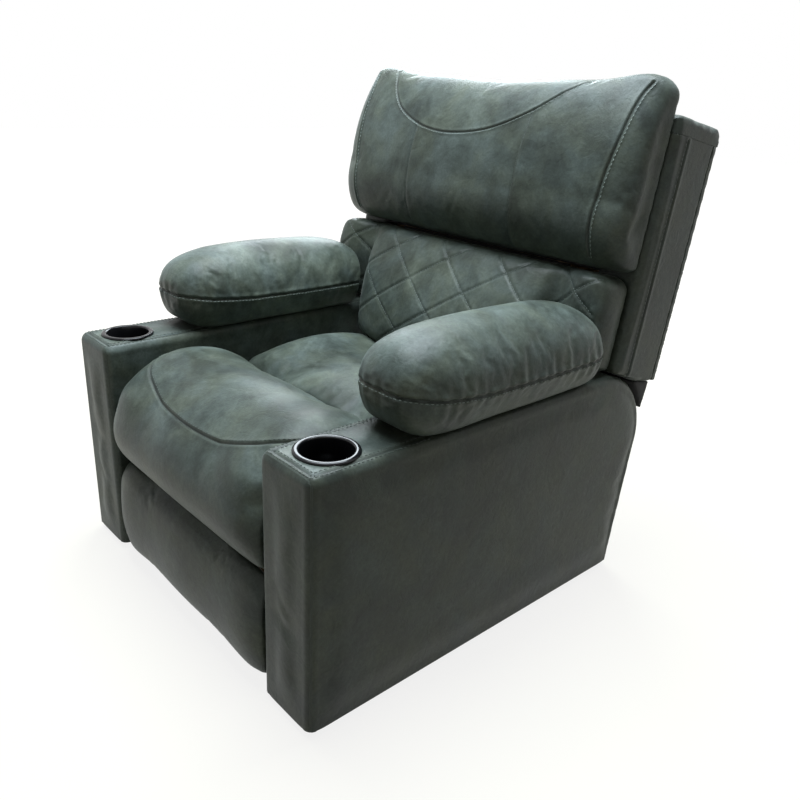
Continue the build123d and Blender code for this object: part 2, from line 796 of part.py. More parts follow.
# Lumbar cushion: a belly between the arms, wings over them, and a sewn diamond quilting
def lumbar_section(x, low, belly, brow, sink):
    high = lumbar_top - sink
    bottom = low + sink
    rear = back_face - sink / 2
    rise = high - bottom
    lower = (sink - belly * 0.92, bottom + rise * 0.12)
    upper = (sink - brow * 0.8, high - rise * 0.06)
    middle = (sink - (belly + brow) / 2 * 1.06, bottom + rise * 0.5)
    return back_plane(x) * make_face(
        [
            Line((rear, bottom), (rear, high - rise * 0.03)),
            ThreePointArc((rear, high - rise * 0.03), ((upper[0] + rear) / 2, high), upper),
            ThreePointArc(upper, middle, lower),
            ThreePointArc(lower, (lower[0] * 0.8, bottom + rise * 0.02), (lower[0] * 0.55, bottom)),
            Line((lower[0] * 0.55, bottom), (rear, bottom)),
        ]
    )


def lumbar_body(sink):
    between_arms = arm_inner - seat_side_gap
    edge = lumbar_half_width
    step = (edge - arm_inner) / 4
    half = (
        (0.0, lumbar_bottom, lumbar_belly, lumbar_brow),
        (between_arms * 0.6, lumbar_bottom, lumbar_belly * 0.98, lumbar_brow * 0.99),
        (between_arms * 0.84, lumbar_bottom + 6, lumbar_belly * 0.88, lumbar_brow * 0.97),
        (between_arms * 0.93, lumbar_bottom + 40, lumbar_belly * 0.68, lumbar_brow * 0.95),
        (between_arms, lumbar_wing_bottom, lumbar_wing_front, lumbar_brow * 0.76),
        (arm_inner + 2 * step, lumbar_wing_bottom, lumbar_wing_front, lumbar_brow * 0.7),
        (arm_inner + 3.4 * step, lumbar_wing_bottom + 3, lumbar_wing_front * 0.95, lumbar_brow * 0.65),
        (edge - sink, lumbar_wing_bottom + 14, lumbar_edge_front, lumbar_edge_front),
    )
    mirrored = [(-row[0],) + row[1:] for row in reversed(half[1:])]
    return loft([lumbar_section(*row, sink) for row in mirrored + list(half)], ruled=True)


def lumbar_cushion():
    core = lumbar_body(quilt_depth)
    length = 2 * lumbar_top
    ahead = (Align.MAX, Align.CENTER, Align.CENTER)
    blades = []
    lines = 2 * int(lumbar_half_width / quilt_pitch) + 5
    for index in range(lines):
        start = (index - (lines - 1) / 2) * quilt_pitch
        middle = Pos(-lumbar_edge_front / 2, quilt_crossing, start)
        for turn in (quilt_angle, -quilt_angle):
            blade = Box(2 * lumbar_belly, length, quilt_width, align=ahead)
            blades.append(back_plane(0).location * middle * Rot(turn, 0, 0) * blade)
    return lumbar_body(0) - blades + core


parts["lumbar_cushion"] = lumbar_cushion()


# Headrest cushion, its top dipping between two ears
def headrest_section(x, high, front, lift):
    low = headrest_bottom + lift
    rise = high - low
    rear = back_face
    belly = (-front, low + rise * 0.34)
    chin = (-front * 0.72, low + rise * 0.06)
    brow = (-front * 0.52, high - rise * 0.06)
    nape = (rear, high - rise * 0.08)
    return back_plane(x) * make_face(
        [
            Line((rear, low), nape),
            ThreePointArc(nape, ((rear + brow[0]) / 2, high), brow),
            ThreePointArc(brow, (-front * 0.9, low + rise * 0.66), belly),
            ThreePointArc(belly, (-front * 0.95, low + rise * 0.17), chin),
            ThreePointArc(chin, (-front * 0.45, low + rise * 0.01), (rear, low)),
        ]
    )


def headrest_cushion():
    ear = headrest_ear
    half = (
        (0.0, headrest_top, headrest_front, 0),
        (0.45, headrest_top + ear * 0.4, headrest_front * 0.97, 0),
        (0.8, headrest_top + ear, headrest_front * 0.94, 1),
        (0.94, headrest_top + ear * 0.7, headrest_front * 0.82, 4),
        (1.0, headrest_top - ear, headrest_edge_front, 12),
    )
    mirrored = [(-row[0],) + row[1:] for row in reversed(half[1:])]
    rows = mirrored + list(half)
    return loft([headrest_section(headrest_half_width * x, high, front, lift) for x, high, front, lift in rows])


parts["headrest_cushion"] = headrest_cushion()

# Write each piece, with the floor under the middle of the whole chair as the origin
whole = Compound([solid for piece in parts.values() for solid in piece.solids()])
front_to_origin = -whole.bounding_box().center().Y
os.makedirs("parts", exist_ok=True)
for name, piece in parts.items():
    export_step(Pos(0, front_to_origin, 0) * piece, os.path.join("parts", name + ".step"))
print("pieces", len(parts), "front of the arms at Y", round(front_to_origin, 3))
print("recline axis", round(hinge_depth + front_to_origin, 3), hinge_height)
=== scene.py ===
import bpy
import bmesh
import json
import math
import numpy as np
from mathutils import Matrix, Vector
from mathutils.bvhtree import BVHTree


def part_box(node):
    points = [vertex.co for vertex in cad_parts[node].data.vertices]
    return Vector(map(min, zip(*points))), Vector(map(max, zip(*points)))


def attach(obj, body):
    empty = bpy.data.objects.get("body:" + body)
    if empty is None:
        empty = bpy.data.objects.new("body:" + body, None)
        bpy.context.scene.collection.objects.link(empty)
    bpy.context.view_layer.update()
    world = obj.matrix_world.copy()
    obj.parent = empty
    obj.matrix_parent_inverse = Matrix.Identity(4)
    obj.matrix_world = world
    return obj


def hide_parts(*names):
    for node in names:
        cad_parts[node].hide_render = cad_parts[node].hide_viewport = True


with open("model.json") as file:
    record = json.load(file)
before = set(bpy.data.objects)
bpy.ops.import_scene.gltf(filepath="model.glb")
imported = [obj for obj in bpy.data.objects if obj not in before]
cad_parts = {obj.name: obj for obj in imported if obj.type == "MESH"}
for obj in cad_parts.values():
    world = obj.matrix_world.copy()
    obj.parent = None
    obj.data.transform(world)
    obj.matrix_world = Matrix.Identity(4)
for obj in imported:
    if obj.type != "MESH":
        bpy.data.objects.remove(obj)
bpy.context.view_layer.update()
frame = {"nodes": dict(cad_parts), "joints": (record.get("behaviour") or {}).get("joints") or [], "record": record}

print("frame loaded,", len(frame["nodes"]), "nodes")

# places read from the frame, in metres
armLow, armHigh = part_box("arm_cover_left")
frontY = armLow.y
deckZ = armHigh.z
armMidX = (armLow.x + armHigh.x) / 2
hinge = next(Vector(j["pos_m"]) for j in frame["joints"] if j["name"] == "back_recline")
lean = math.radians(9.5)  # of the back, as in the CAD
rearAxis = Vector((0, math.cos(lean), -math.sin(lean)))  # straight out of the rear of the back
upAxis = Vector((0, math.sin(lean), math.cos(lean)))     # up along the leaning back
sideAxis = Vector((1, 0, 0))
downAxis = Vector((0, 0, -1))
rearWay, upWay = np.array(rearAxis), np.array(upAxis)
hingePoint = np.array(hinge)
sides = (("Left", "left", 1), ("Right", "right", -1))


def onBack(x, r, v):
    return hinge + sideAxis * x + rearAxis * r + upAxis * v


def backCoords(co):
    rel = co - hingePoint
    return rel @ rearWay, rel @ upWay


def smoothStep(value, low, high):
    t = np.clip((value - low) / (high - low), 0, 1)
    return t * t * (3 - 2 * t)


# mesh helpers
def newPiece(name, mesh):
    piece = bpy.data.objects.new(name, mesh)
    bpy.context.scene.collection.objects.link(piece)
    return piece


def fromBmesh(name, bm):
    mesh = bpy.data.meshes.new(name)
    bm.to_mesh(mesh)
    bm.free()
    return newPiece(name, mesh)


def meshOf(piece):
    bm = bmesh.new()
    bm.from_mesh(piece.data)
    return bm


def settle(piece):
    graph = bpy.context.evaluated_depsgraph_get()
    baked = bpy.data.meshes.new_from_object(piece.evaluated_get(graph))
    piece.modifiers.clear()
    piece.data = baked


def points(piece):
    co = np.empty(len(piece.data.vertices) * 3, np.float32)
    piece.data.vertices.foreach_get("co", co)
    return co.reshape(-1, 3).astype(float)


def setPoints(piece, co):
    piece.data.vertices.foreach_set("co", co.astype(np.float32).ravel())
    piece.data.update()


def outward(piece):
    n = np.empty(len(piece.data.vertices) * 3, np.float32)
    piece.data.vertex_normals.foreach_get("vector", n)
    return n.reshape(-1, 3).astype(float)


def soften(piece, times):
    soft = piece.modifiers.new("relax", "SMOOTH")
    soft.factor = 0.5
    soft.iterations = times


def thicken(piece, thickness, offset):
    wall = piece.modifiers.new("skin", "SOLIDIFY")
    wall.thickness = thickness
    wall.offset = offset


def evenOut(piece, look):
    mod = piece.modifiers.new("even", "REMESH")
    mod.mode = "VOXEL"
    mod.voxel_size = look["voxel"]
    soften(piece, look["relax"])
    settle(piece)
    piece.data.materials.clear()
    return piece


def stuffing(name, node, look):
    bm = meshOf(frame["nodes"][node])
    bmesh.ops.remove_doubles(bm, verts=bm.verts, dist=0.00002)
    return evenOut(fromBmesh(name, bm), look)


def smoothFaces(piece):
    piece.data.polygons.foreach_set("use_smooth", np.ones(len(piece.data.polygons), bool))


def refine(piece):
    sub = piece.modifiers.new("refine", "SUBSURF")
    sub.levels = 1
    sub.render_levels = 1
    settle(piece)
    smoothFaces(piece)


def finer(piece, paths, reach):
    gap = seamGap(points(piece), paths)
    bm = meshOf(piece)
    bm.verts.ensure_lookup_table()
    near = [e for e in bm.edges if max(gap[e.verts[0].index], gap[e.verts[1].index]) < reach]
    bmesh.ops.subdivide_edges(bm, edges=near, cuts=1, use_grid_fill=True)
    bm.to_mesh(piece.data)
    bm.free()


# a number for each cut panel, so that the hide's pattern starts afresh at the seams
def markPanels(piece, values):
    layer = piece.data.attributes.get("panel") or piece.data.attributes.new("panel", "FLOAT", "POINT")
    layer.data.foreach_set("value", np.asarray(values, np.float32))


# seams: lengths in metres, the ridge beside a seam in widths of its groove
seamLook = {"search": 0.05, "castFrom": 0.4, "pinned": 0.005, "ridgeAt": 2.6, "ridgeWide": 1.5,
            "lift": 0.0004}


def treeOf(piece):
    bm = meshOf(piece)
    tree = BVHTree.FromBMesh(bm)
    bm.free()
    return tree


def curveThrough(knots, count):
    knots = np.array(knots, float)
    ends = np.vstack([2 * knots[0] - knots[1], knots, 2 * knots[-1] - knots[-2]])
    out = []
    for t in np.linspace(0, len(knots) - 1, count):
        i = min(int(t), len(knots) - 2)
        f = t - i
        a, b, c, d = ends[i:i + 4]
        square, cube = 2 * a - 5 * b + 4 * c - d, 3 * b - a - 3 * c + d
        out.append(0.5 * (2 * b + (c - a) * f + square * f * f + cube * f ** 3))
    return out


def castDown(tree, starts, way):
    hits = []
    for start in starts:
        hit = tree.ray_cast(Vector(start) - way * seamLook["castFrom"], way)[0]
        if hit is not None:
            hits.append(np.array(hit))
    return hits


def seamRun(co, path):
    path = np.array(path)
    low, high = path.min(0) - seamLook["search"], path.max(0) + seamLook["search"]
    near = np.all((co > low) & (co < high), axis=1)
    some = co[near]
    gap = np.full(len(some), 1.0)
    run = np.zeros(len(some))
    done = 0.0
    for a, b in zip(path[:-1], path[1:]):
        step = b - a
        length = max(np.linalg.norm(step), 1e-9)
        t = np.clip(((some - a) @ step) / length ** 2, 0, 1)
        away = np.linalg.norm(some - a - t[:, None] * step, axis=1)
        run = np.where(away < gap, done + t * length, run)
        gap = np.minimum(gap, away)
        done += length
    allGap, allRun = np.full(len(co), 1.0), np.zeros(len(co))
    allGap[near], allRun[near] = gap, run
    return allGap, allRun


def seamGap(co, paths):
    return np.min([seamRun(co, path)[0] for path in paths], axis=0)


def sew(piece, paths, width, depth, lip=0.0, shade=1.0, pucker=0.0, spacing=0.016, reach=0.02):
    co = points(piece)
    gap, wave = np.full(len(co), 1.0), np.zeros(len(co))
    for path in paths:
        away, run = seamRun(co, path)
        gather = np.sin(run / spacing * 6.283) + 0.6 * np.sin(run / spacing * 2.61 + 1.3)
        wave = np.where(away < gap, gather, wave)
        gap = np.minimum(gap, away)
    groove = np.exp(-(gap / width) ** 2)
    ridge = np.exp(-((gap - seamLook["ridgeAt"] * width) / (seamLook["ridgeWide"] * width)) ** 2)
    folds = pucker * wave * np.exp(-gap / reach) * np.clip(gap / width, 0, 1)
    setPoints(piece, co + outward(piece) * (lip * ridge - depth * groove + folds)[:, None])
    # painted shade: each groove is also darkened in colour, by shade, through a point attribute that hideFinish
    # reads
    layer = piece.data.attributes.get("paintedSeamShade") or piece.data.attributes.new("paintedSeamShade", "FLOAT", "POINT")
    old = np.empty(len(co), np.float32)
    layer.data.foreach_get("value", old)
    layer.data.foreach_set("value", np.maximum(old, shade * groove).astype(np.float32))


def spaced(path, pitch):
    path = np.array(path)
    run = np.concatenate([[0], np.cumsum(np.linalg.norm(np.diff(path, axis=0), axis=1))])
    at = np.arange(pitch / 2, run[-1], pitch)
    return np.stack([np.interp(at, run, path[:, k]) for k in range(3)], axis=1)


def beside(tree, path, offset):
    out = []
    for i, p in enumerate(path):
        ahead = path[min(i + 1, len(path) - 1)] - path[max(i - 1, 0)]
        normal = tree.find_nearest(Vector(p))[1]
        side = normal.cross(Vector(ahead)).normalized()
        hit = tree.find_nearest(Vector(p) + side * offset)[0]
        out.append(np.array(hit))
    return out


def stitch(name, piece, paths, body, finish, pitch=0.0085, length=0.0062, thick=0.0016):
    tree = treeOf(piece)
    whole = bmesh.new()
    for path in paths:
        spots = spaced(path, pitch)
        bm = bmesh.new()
        for i, p in enumerate(spots):
            ahead = Vector(spots[min(i + 1, len(spots) - 1)] - spots[max(i - 1, 0)]).normalized()
            hit, normal = tree.find_nearest(Vector(p))[:2]
            across = normal.cross(ahead).normalized()
            turn = Matrix((ahead, across, normal)).transposed().to_4x4()
            size = Matrix.Diagonal((length, thick, thick * 0.8, 1))
            place = Matrix.Translation(hit + normal * seamLook["lift"]) @ turn @ size
            bmesh.ops.create_uvsphere(bm, u_segments=6, v_segments=4, radius=0.5, matrix=place)
        row = bpy.data.meshes.new(name + "Row")
        bm.to_mesh(row)
        bm.free()
        whole.from_mesh(row)
        bpy.data.meshes.remove(row)
    thread = fromBmesh(name, whole)
    smoothFaces(thread)
    thread.data.materials.append(finish)
    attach(thread, body)


# cloth: every stuffed piece swells together, and no point moves further than its cap
clothLook = {"quality": 5, "mass": 0.3, "tension_stiffness": 18, "compression_stiffness": 18,
             "shear_stiffness": 8, "bending_stiffness": 0.6, "use_pressure": True}
clothFrames = 16
swelling = []


def swell(piece, look, hold, sewn=()):
    swelling.append({"piece": piece, "look": look, "keep": hold(points(piece)), "sewn": sewn})


def runSwelling():
    scene = bpy.context.scene
    for item in swelling:
        piece = item["piece"]
        item["rest"] = points(piece)
        cloth = piece.modifiers.new("stuffed", "CLOTH")
        for key, value in clothLook.items():
            setattr(cloth.settings, key, value)
        cloth.settings.uniform_pressure_force = item["look"]["pressure"]
        cloth.settings.shrink_min = -item["look"].get("grow", 0.0)
        cloth.settings.effector_weights.gravity = 0
        cloth.point_cache.frame_start = 1
        cloth.point_cache.frame_end = clothFrames
        if item["sewn"]:
            gap = seamGap(item["rest"], item["sewn"])
            group = piece.vertex_groups.new(name="sewn")
            group.add([int(i) for i in np.nonzero(gap < seamLook["pinned"])[0]], 1.0, "REPLACE")
            cloth.settings.vertex_group_mass = "sewn"
    for step in range(1, clothFrames + 1):
        scene.frame_set(step)
    graph = bpy.context.evaluated_depsgraph_get()
    for item in swelling:
        piece = item["piece"]
        moved = points(piece.evaluated_get(graph))
        piece.modifiers.clear()
        piece.vertex_groups.clear()
        shift = moved - item["rest"]
        far = np.maximum(np.linalg.norm(shift, axis=1), 1e-9)
        cap = item["look"]["cap"]
        share = cap * (1 - np.exp(-far / cap)) / far * item["keep"]
        setPoints(piece, item["rest"] + shift * share[:, None])
        print(piece.name, "swelled", round(float(far.mean() * 1000), 1), "mm on average")
    scene.frame_set(1)


# finishes: add() makes a node or takes one, and sets or links its inputs
def nodeMaker(tree):
    def add(kind, ins=(), **settings):
        node = tree.nodes.new("ShaderNode" + kind) if isinstance(kind, str) else kind
        for key, value in settings.items():
            setattr(node, key, value)
        for key, value in dict(ins).items():
            if isinstance(value, bpy.types.NodeSocket):
                tree.links.new(value, node.inputs[key])
            else:
                node.inputs[key].default_value = value
        return node
    return add


def startFinish(name):
    finish = bpy.data.materials.new(name)
    finish.use_nodes = True
    return finish, nodeMaker(finish.node_tree), finish.node_tree.nodes["Principled BSDF"]


def objectCoords(add):
    return add("TexCoord").outputs["Object"]


def noise(add, vector, scale, detail, rough, distortion=0.0):
    return add("TexNoise", {"Vector": vector, "Scale": scale, "Detail": detail, "Roughness": rough,
                            "Distortion": distortion}).outputs["Fac"]


def multiplied(add, first, second, share=1.0):
    mix = add("Mix", {0: share, 6: first, 7: second}, data_type="RGBA", blend_type="MULTIPLY")
    return mix.outputs[2]


def bumped(add, height, strength, distance, below=None):
    bump = add("Bump", {"Height": height, "Strength": strength, "Distance": distance})
    if below is not None:
        add(bump, {"Normal": below})
    return bump.outputs["Normal"]


def scaled(colour, by):
    return tuple(min(1, c * by) for c in colour)


def ramp(add, value, stops):
    node = add("ValToRGB", {"Fac": value})
    bar = node.color_ramp.elements
    bar[0].position, bar[0].color = stops[0][0], (*stops[0][1], 1)
    bar[1].position, bar[1].color = stops[-1][0], (*stops[-1][1], 1)
    for place, colour in stops[1:-1]:
        bar.new(place).color = (*colour, 1)
    return node.outputs["Color"]


hideLook = {
    "deep": (0.029, 0.037, 0.030),
    "green": (0.063, 0.078, 0.066),
    "pale": (0.113, 0.136, 0.119),
    "olive": (1.05, 1.02, 0.90),   # warm patches
    "slate": (0.97, 1.00, 1.03),   # cool patches
    # noises: scale per metre, detail, roughness, distortion
    "cloud": (6.5, 5.0, 0.62, 0.7),      # large patches
    "blot": (21.0, 6.0, 0.66, 0.4),      # smaller patches
    "fleck": (190.0, 3.0, 0.6),          # fine specks
    "crinkle": (46.0, 4.0, 0.55, 1.2),   # soft folds
    "hue": (10.4, 4.0, 0.55, 0.5),       # where it is warm or cool
    "blotShare": 0.55,
    "grain": 620.0,    # pebble of the surface
    "spread": (1.37, 2.11, 0.73),  # shift of the pattern for each seed
    "hueShift": (3.1, 9.2, 5.7),
    "rough": (0.36, 0.52),
    "seam": 0.42,      # how dark the painted shade in a seam's fold is
    "jump": (3.17, 1.71, 2.39),    # shift of the pattern from panel to panel
    "skin": {"Specular IOR Level": 0.22, "Sheen Weight": 0.10, "Sheen Roughness": 0.5,
             "Sheen Tint": (0.75, 0.86, 0.82, 1)},
}


# the last argument scales this piece's copy of the hide: painted light and shade, lighter on the pads' lit tops
# and darker on the arms, wings, roll, headrest, panel and footrest
def hideFinish(name, seed, paintedLightScale=1.0):
    look = hideLook
    finish, add, skin = startFinish(name)
    start = [seed * way for way in look["spread"]]
    place = add("Mapping", {"Vector": objectCoords(add), "Location": start}).outputs["Vector"]
    panel = add("Attribute", attribute_name="panel").outputs["Fac"]
    cut = add("VectorMath", {0: panel, 1: look["jump"], 2: place}, operation="MULTIPLY_ADD").outputs["Vector"]
    kinds = ("cloud", "blot", "fleck", "crinkle")
    cloud, blot, fleck, crinkle = (noise(add, cut, *look[kind]) for kind in kinds)
    pebble = add("TexVoronoi", {"Vector": cut, "Scale": look["grain"]}).outputs["Distance"]
    both = add("Math", {0: blot, 1: look["blotShare"], 2: cloud}, operation="MULTIPLY_ADD").outputs[0]
    deep, shade, pale = (scaled(look[key], paintedLightScale) for key in ("deep", "green", "pale"))
    tone = ramp(add, both, [(0.60, deep), (0.76, shade), (0.96, pale)])
    speck = ramp(add, fleck, [(0.30, (0.82, 0.82, 0.82)), (0.70, (1.12, 1.12, 1.12))])
    shifted = add("Mapping", {"Vector": cut, "Location": look["hueShift"]}).outputs["Vector"]
    warm = noise(add, shifted, *look["hue"])
    hue = ramp(add, warm, [(0.38, look["slate"]), (0.62, look["olive"])])
    tinted = multiplied(add, multiplied(add, tone, speck), hue)
    # painted shade in the seams' folds, from the point attribute that sew writes
    paintedSeamShade = add("Attribute", attribute_name="paintedSeamShade").outputs["Fac"]
    dark = multiplied(add, tinted, (*[look["seam"]] * 3, 1), paintedSeamShade)
    gloss = add("MapRange", {"Value": blot, "To Min": look["rough"][0], "To Max": look["rough"][1]})
    folds = bumped(add, crinkle, 0.35, 0.0022)
    add(skin, {"Base Color": dark, "Roughness": gloss.outputs["Result"],
               "Normal": bumped(add, pebble, 0.25, 0.0005, folds), **look["skin"]})
    return finish


def threadFinish(name, colour):
    finish, add, skin = startFinish(name)
    twist = add("TexWave", {"Vector": objectCoords(add), "Scale": 420.0, "Distortion": 1.0}).outputs["Fac"]
    tone = ramp(add, twist, [(0.0, scaled(colour, 0.7)), (1.0, colour)])
    add(skin, {"Base Color": tone, "Roughness": 0.6})
    return finish


def clothFinish(name, colour, scale):
    finish, add, skin = startFinish(name)
    ins = {"Vector": objectCoords(add), "Scale": scale, "Distortion": 0.6}
    weave = add("TexWave", ins).outputs["Fac"]
    cross = add("TexWave", ins, bands_direction="Z").outputs["Fac"]
    both = add("Math", {0: weave, 1: cross}, operation="MULTIPLY").outputs[0]
    tone = ramp(add, both, [(0.0, scaled(colour, 0.6)), (1.0, scaled(colour, 1.3))])
    add(skin, {"Base Color": tone, "Normal": bumped(add, both, 0.5, 0.0006), "Roughness": 0.85})
    return finish


def hardFinish(name, colour, rough, metal, scale, bumpStrength):
    finish, add, skin = startFinish(name)
    cloud = noise(add, objectCoords(add), scale, 6.0, 0.6)
    tone = ramp(add, cloud, [(0.3, scaled(colour, 0.8)), (0.7, scaled(colour, 1.2))])
    gloss = add("MapRange", {"Value": cloud, "To Min": rough * 0.8, "To Max": min(1.0, rough * 1.25)})
    add(skin, {"Base Color": tone, "Roughness": gloss.outputs["Result"], "Metallic": metal,
               "Normal": bumped(add, cloud, bumpStrength, 0.0004)})
    return finish


def timberFinish(name):
    finish, add, skin = startFinish(name)
    stretch = add("Mapping", {"Vector": objectCoords(add), "Scale": (30, 30, 3)}).outputs["Vector"]
    grain = noise(add, stretch, 3.0, 8.0, 0.65, 1.5)
    tone = ramp(add, grain, [(0.3, (0.26, 0.16, 0.08)), (0.55, (0.42, 0.28, 0.15)),
                             (0.8, (0.53, 0.38, 0.22))])
    add(skin, {"Base Color": tone, "Normal": bumped(add, grain, 0.3, 0.0006), "Roughness": 0.65})
    return finish


paleThread = threadFinish("paleThread", (0.26, 0.31, 0.28))
quiltThread = threadFinish("quiltThread", (0.20, 0.24, 0.22))
darkThread = threadFinish("darkThread", (0.085, 0.105, 0.09))
blackCloth = clothFinish("blackCloth", (0.012, 0.012, 0.012), 260.0)
webbing = clothFinish("webbing", (0.03, 0.028, 0.026), 120.0)


def dress(piece, node, body, finish):
    piece.data.materials.clear()
    piece.data.materials.append(finish)
    smoothFaces(piece)
    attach(piece, body)
    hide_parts(node)


# arms: boxes with soft edges, a stitched deck and a hole for the cup
armLook = {"edge": 0.018, "edgeSteps": 5, "voxel": 0.0105, "relax": 2, "skin": 0.004, "cupHole": 0.047,
           "seamInset": 0.015, "seamEnd": 0.24, "thread": 0.006, "foot": 0.03, "cap": 0.005, "pressure": 2.0,
           "arcSteps": 14, "rearFoot": 0.845, "seed": {"left": 3.1, "right": 7.7}, "light": 0.92,
           "inner": 0.02, "innerFree": 0.15, "footFade": (0.02, 0.08), "edgeFade": (0.015, 0.06),
           "deckFade": (-0.03, -0.004), "padFade": (0.12, 0.20)}
cupY = (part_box("cup_holder_left")[0].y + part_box("cup_holder_left")[1].y) / 2
rearFootY = frontY + armLook["rearFoot"]
roundReach = deckZ - hinge.z  # radius of the arms' rear round, about the back's hinge
armHalf = (armHigh.x - armLow.x) / 2


# the straight rear of an arm, from its foot to the start of the round
def rearLine(z):
    return rearFootY + (hinge.y + roundReach - rearFootY) * (z - armLow.z) / (hinge.z - armLow.z)


def armShell(side):
    low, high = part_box("arm_cover_" + side)
    bm = bmesh.new()
    crown = bm.verts.new((low.x, hinge.y, deckZ))
    made = bmesh.ops.spin(bm, geom=[crown], cent=(low.x, hinge.y, hinge.z), axis=(1, 0, 0),
                          angle=-math.pi / 2, steps=armLook["arcSteps"])
    corner = made["geom_last"][0]
    foot = low.z - armLook["foot"]
    rearFoot = bm.verts.new((low.x, rearLine(foot), foot))
    toe = bm.verts.new((low.x, frontY, foot))
    brow = bm.verts.new((low.x, frontY, deckZ))
    for a, b in ((corner, rearFoot), (rearFoot, toe), (toe, brow), (brow, crown)):
        bm.edges.new((a, b))
    face = bmesh.ops.edgeloop_fill(bm, edges=bm.edges)["faces"][0]
    grown = bmesh.ops.extrude_face_region(bm, geom=[face])["geom"]
    moved = [g for g in grown if isinstance(g, bmesh.types.BMVert)]
    bmesh.ops.translate(bm, verts=moved, vec=(high.x - low.x, 0, 0))
    bmesh.ops.recalc_face_normals(bm, faces=bm.faces)
    rims = []
    for edge in bm.edges:
        a, b = (v.co for v in edge.verts)
        flank = abs(a.x - b.x) < 1e-6 and max(a.z, b.z) > foot + 0.001
        onFront = round(a.y, 4) == round(b.y, 4) == round(frontY, 4)
        if flank or (onFront and min(a.z, b.z) > deckZ - 0.001):
            rims.append(edge)
    bmesh.ops.bevel(bm, geom=rims, offset=armLook["edge"], segments=armLook["edgeSteps"], profile=0.5,
                    affect="EDGES", material=-1, clamp_overlap=True)
    return evenOut(fromBmesh("armCover" + side.capitalize(), bm), armLook)


# the edges are filled out to an even round, so that the timber inside stays covered
def fillEdges(piece):
    co = points(piece)
    radius = armLook["edge"]
    rear = co[:, 1] > hinge.y
    arc, heel = rear & (co[:, 2] > hinge.z), rear & (co[:, 2] <= hinge.z)
    reach = np.maximum(np.hypot(co[:, 1] - hinge.y, co[:, 2] - hinge.z), 1e-6)
    level = np.where(arc, hinge.z + reach, co[:, 2]) - deckZ
    ahead = np.where(arc, -1.0, np.where(heel, co[:, 1] - rearLine(co[:, 2]), frontY - co[:, 1]))
    rel = np.stack([np.abs(co[:, 0]) - armMidX, ahead, level], axis=1)
    core = np.stack([np.clip(rel[:, 0], radius - armHalf, armHalf - radius), np.minimum(ahead, -radius),
                     np.minimum(level, -radius)], axis=1)
    out = rel - core
    far = np.maximum(np.linalg.norm(out, axis=1), 1e-9)
    short = (np.count_nonzero(np.abs(out) > 1e-6, axis=1) > 1) & (far < radius)
    rel = core + out / far[:, None] * radius
    grown = (rel[:, 2] + deckZ - hinge.z) / reach
    straight = np.where(heel, rel[:, 1] + rearLine(co[:, 2]), frontY - rel[:, 1])
    y = np.where(arc, hinge.y + (co[:, 1] - hinge.y) * grown, straight)
    z = np.where(arc, hinge.z + (co[:, 2] - hinge.z) * grown, rel[:, 2] + deckZ)
    x = np.sign(co[:, 0]) * (rel[:, 0] + armMidX)
    setPoints(piece, np.where(short[:, None], np.stack([x, y, z], axis=1), co))
    soften(piece, armLook["relax"])
    settle(piece)


def armHold(co):
    inner = np.abs(co[:, 0]) < armLow.x + armLook["inner"]
    keep = np.where(inner, armLook["innerFree"], 1.0) * smoothStep(co[:, 2], *armLook["footFade"])
    flank = armHalf - np.abs(np.abs(co[:, 0]) - armMidX)
    walls = np.stack([flank, co[:, 1] - frontY, deckZ - co[:, 2]], axis=1)
    keep = keep * smoothStep(np.sort(walls, axis=1)[:, 1], *armLook["edgeFade"])
    under = smoothStep(co[:, 2] - deckZ, *armLook["deckFade"])
    return keep * (1 - under * smoothStep(co[:, 1] - frontY, *armLook["padFade"]))


arms = {}
for _, side, _ in sides:
    arms[side] = armShell(side)
    swell(arms[side], armLook, armHold)
print("arms blocked out")

# arm pads: pillows sewn round a seam
padLook = {"voxel": 0.006, "relax": 6, "cap": 0.016, "pressure": 7.0, "grow": 0.02, "nose": 0.085,
           "seed": {"left": 11.3, "right": 5.9}, "light": 1.18, "thread": 0.0045, "free": (0.002, 0.03),
           "seamAt": (0.0, 0.06, 0.13, 0.32, 0.62), "seamRise": (0.080, 0.078, 0.072, 0.064, 0.062)}
pads = {}
for cap, side, _ in sides:
    pads[side] = stuffing("armPad" + cap, "arm_pad_" + side, padLook)


# one seam all round, higher at the front
def padRing(tree, low, high):
    midX, length = (low.x + high.x) / 2, high.y - low.y
    nose = padLook["nose"]
    ways = [((1, 0), t) for t in np.linspace(high.y - nose, low.y + nose, 40)]
    ways += [((math.cos(a), -math.sin(a)), low.y + nose) for a in np.linspace(0.1, 3.04, 40)]
    ways += [((-1, 0), t) for t in np.linspace(low.y + nose, high.y - nose, 40)]
    ways += [((-math.cos(a), math.sin(a)), high.y - nose) for a in np.linspace(0.1, 3.14, 40)]
    ring = []
    for way, y in ways:
        share = (y - low.y - nose * max(0.0, -way[1])) / length
        rise = np.interp(share, padLook["seamAt"], padLook["seamRise"])
        hit = tree.ray_cast(Vector((midX, y, deckZ + rise)), Vector((*way, 0)))[0]
        if hit is not None:
            ring.append(np.array(hit))
    return ring


def padHold(co):
    return smoothStep(co[:, 2] - deckZ, *padLook["free"])


for _, side, _ in sides:
    ring = padRing(treeOf(pads[side]), *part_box("arm_pad_" + side))
    swell(pads[side], padLook, padHold, [ring])
print("arm pads blocked out")

# seat, footrest
seatLook = {"voxel": 0.0072, "relax": 6, "cap": 0.014, "pressure": 3.5, "valley": 0.303, "dip": 0.010,
            "ends": 0.016, "shoulder": 0.014, "topFrom": 0.335, "above": 0.45, "space": 0.0015, "half": 0.255,
            "crescent": ((0.0, 0.026), (0.09, 0.031), (0.16, 0.043), (0.21, 0.058), (0.25, 0.09),
                         (0.275, 0.135)),
            "thread": 0.006, "topFree": 0.37, "front": 0.03, "frontFree": 0.35, "endAt": 0.27,
            "valleyWide": 0.020, "dipFrom": 0.365, "wideFade": (0.10, 0.23), "crownFade": (0.36, 0.385)}
seat = stuffing("seatCushion", "seat_cushion", seatLook)


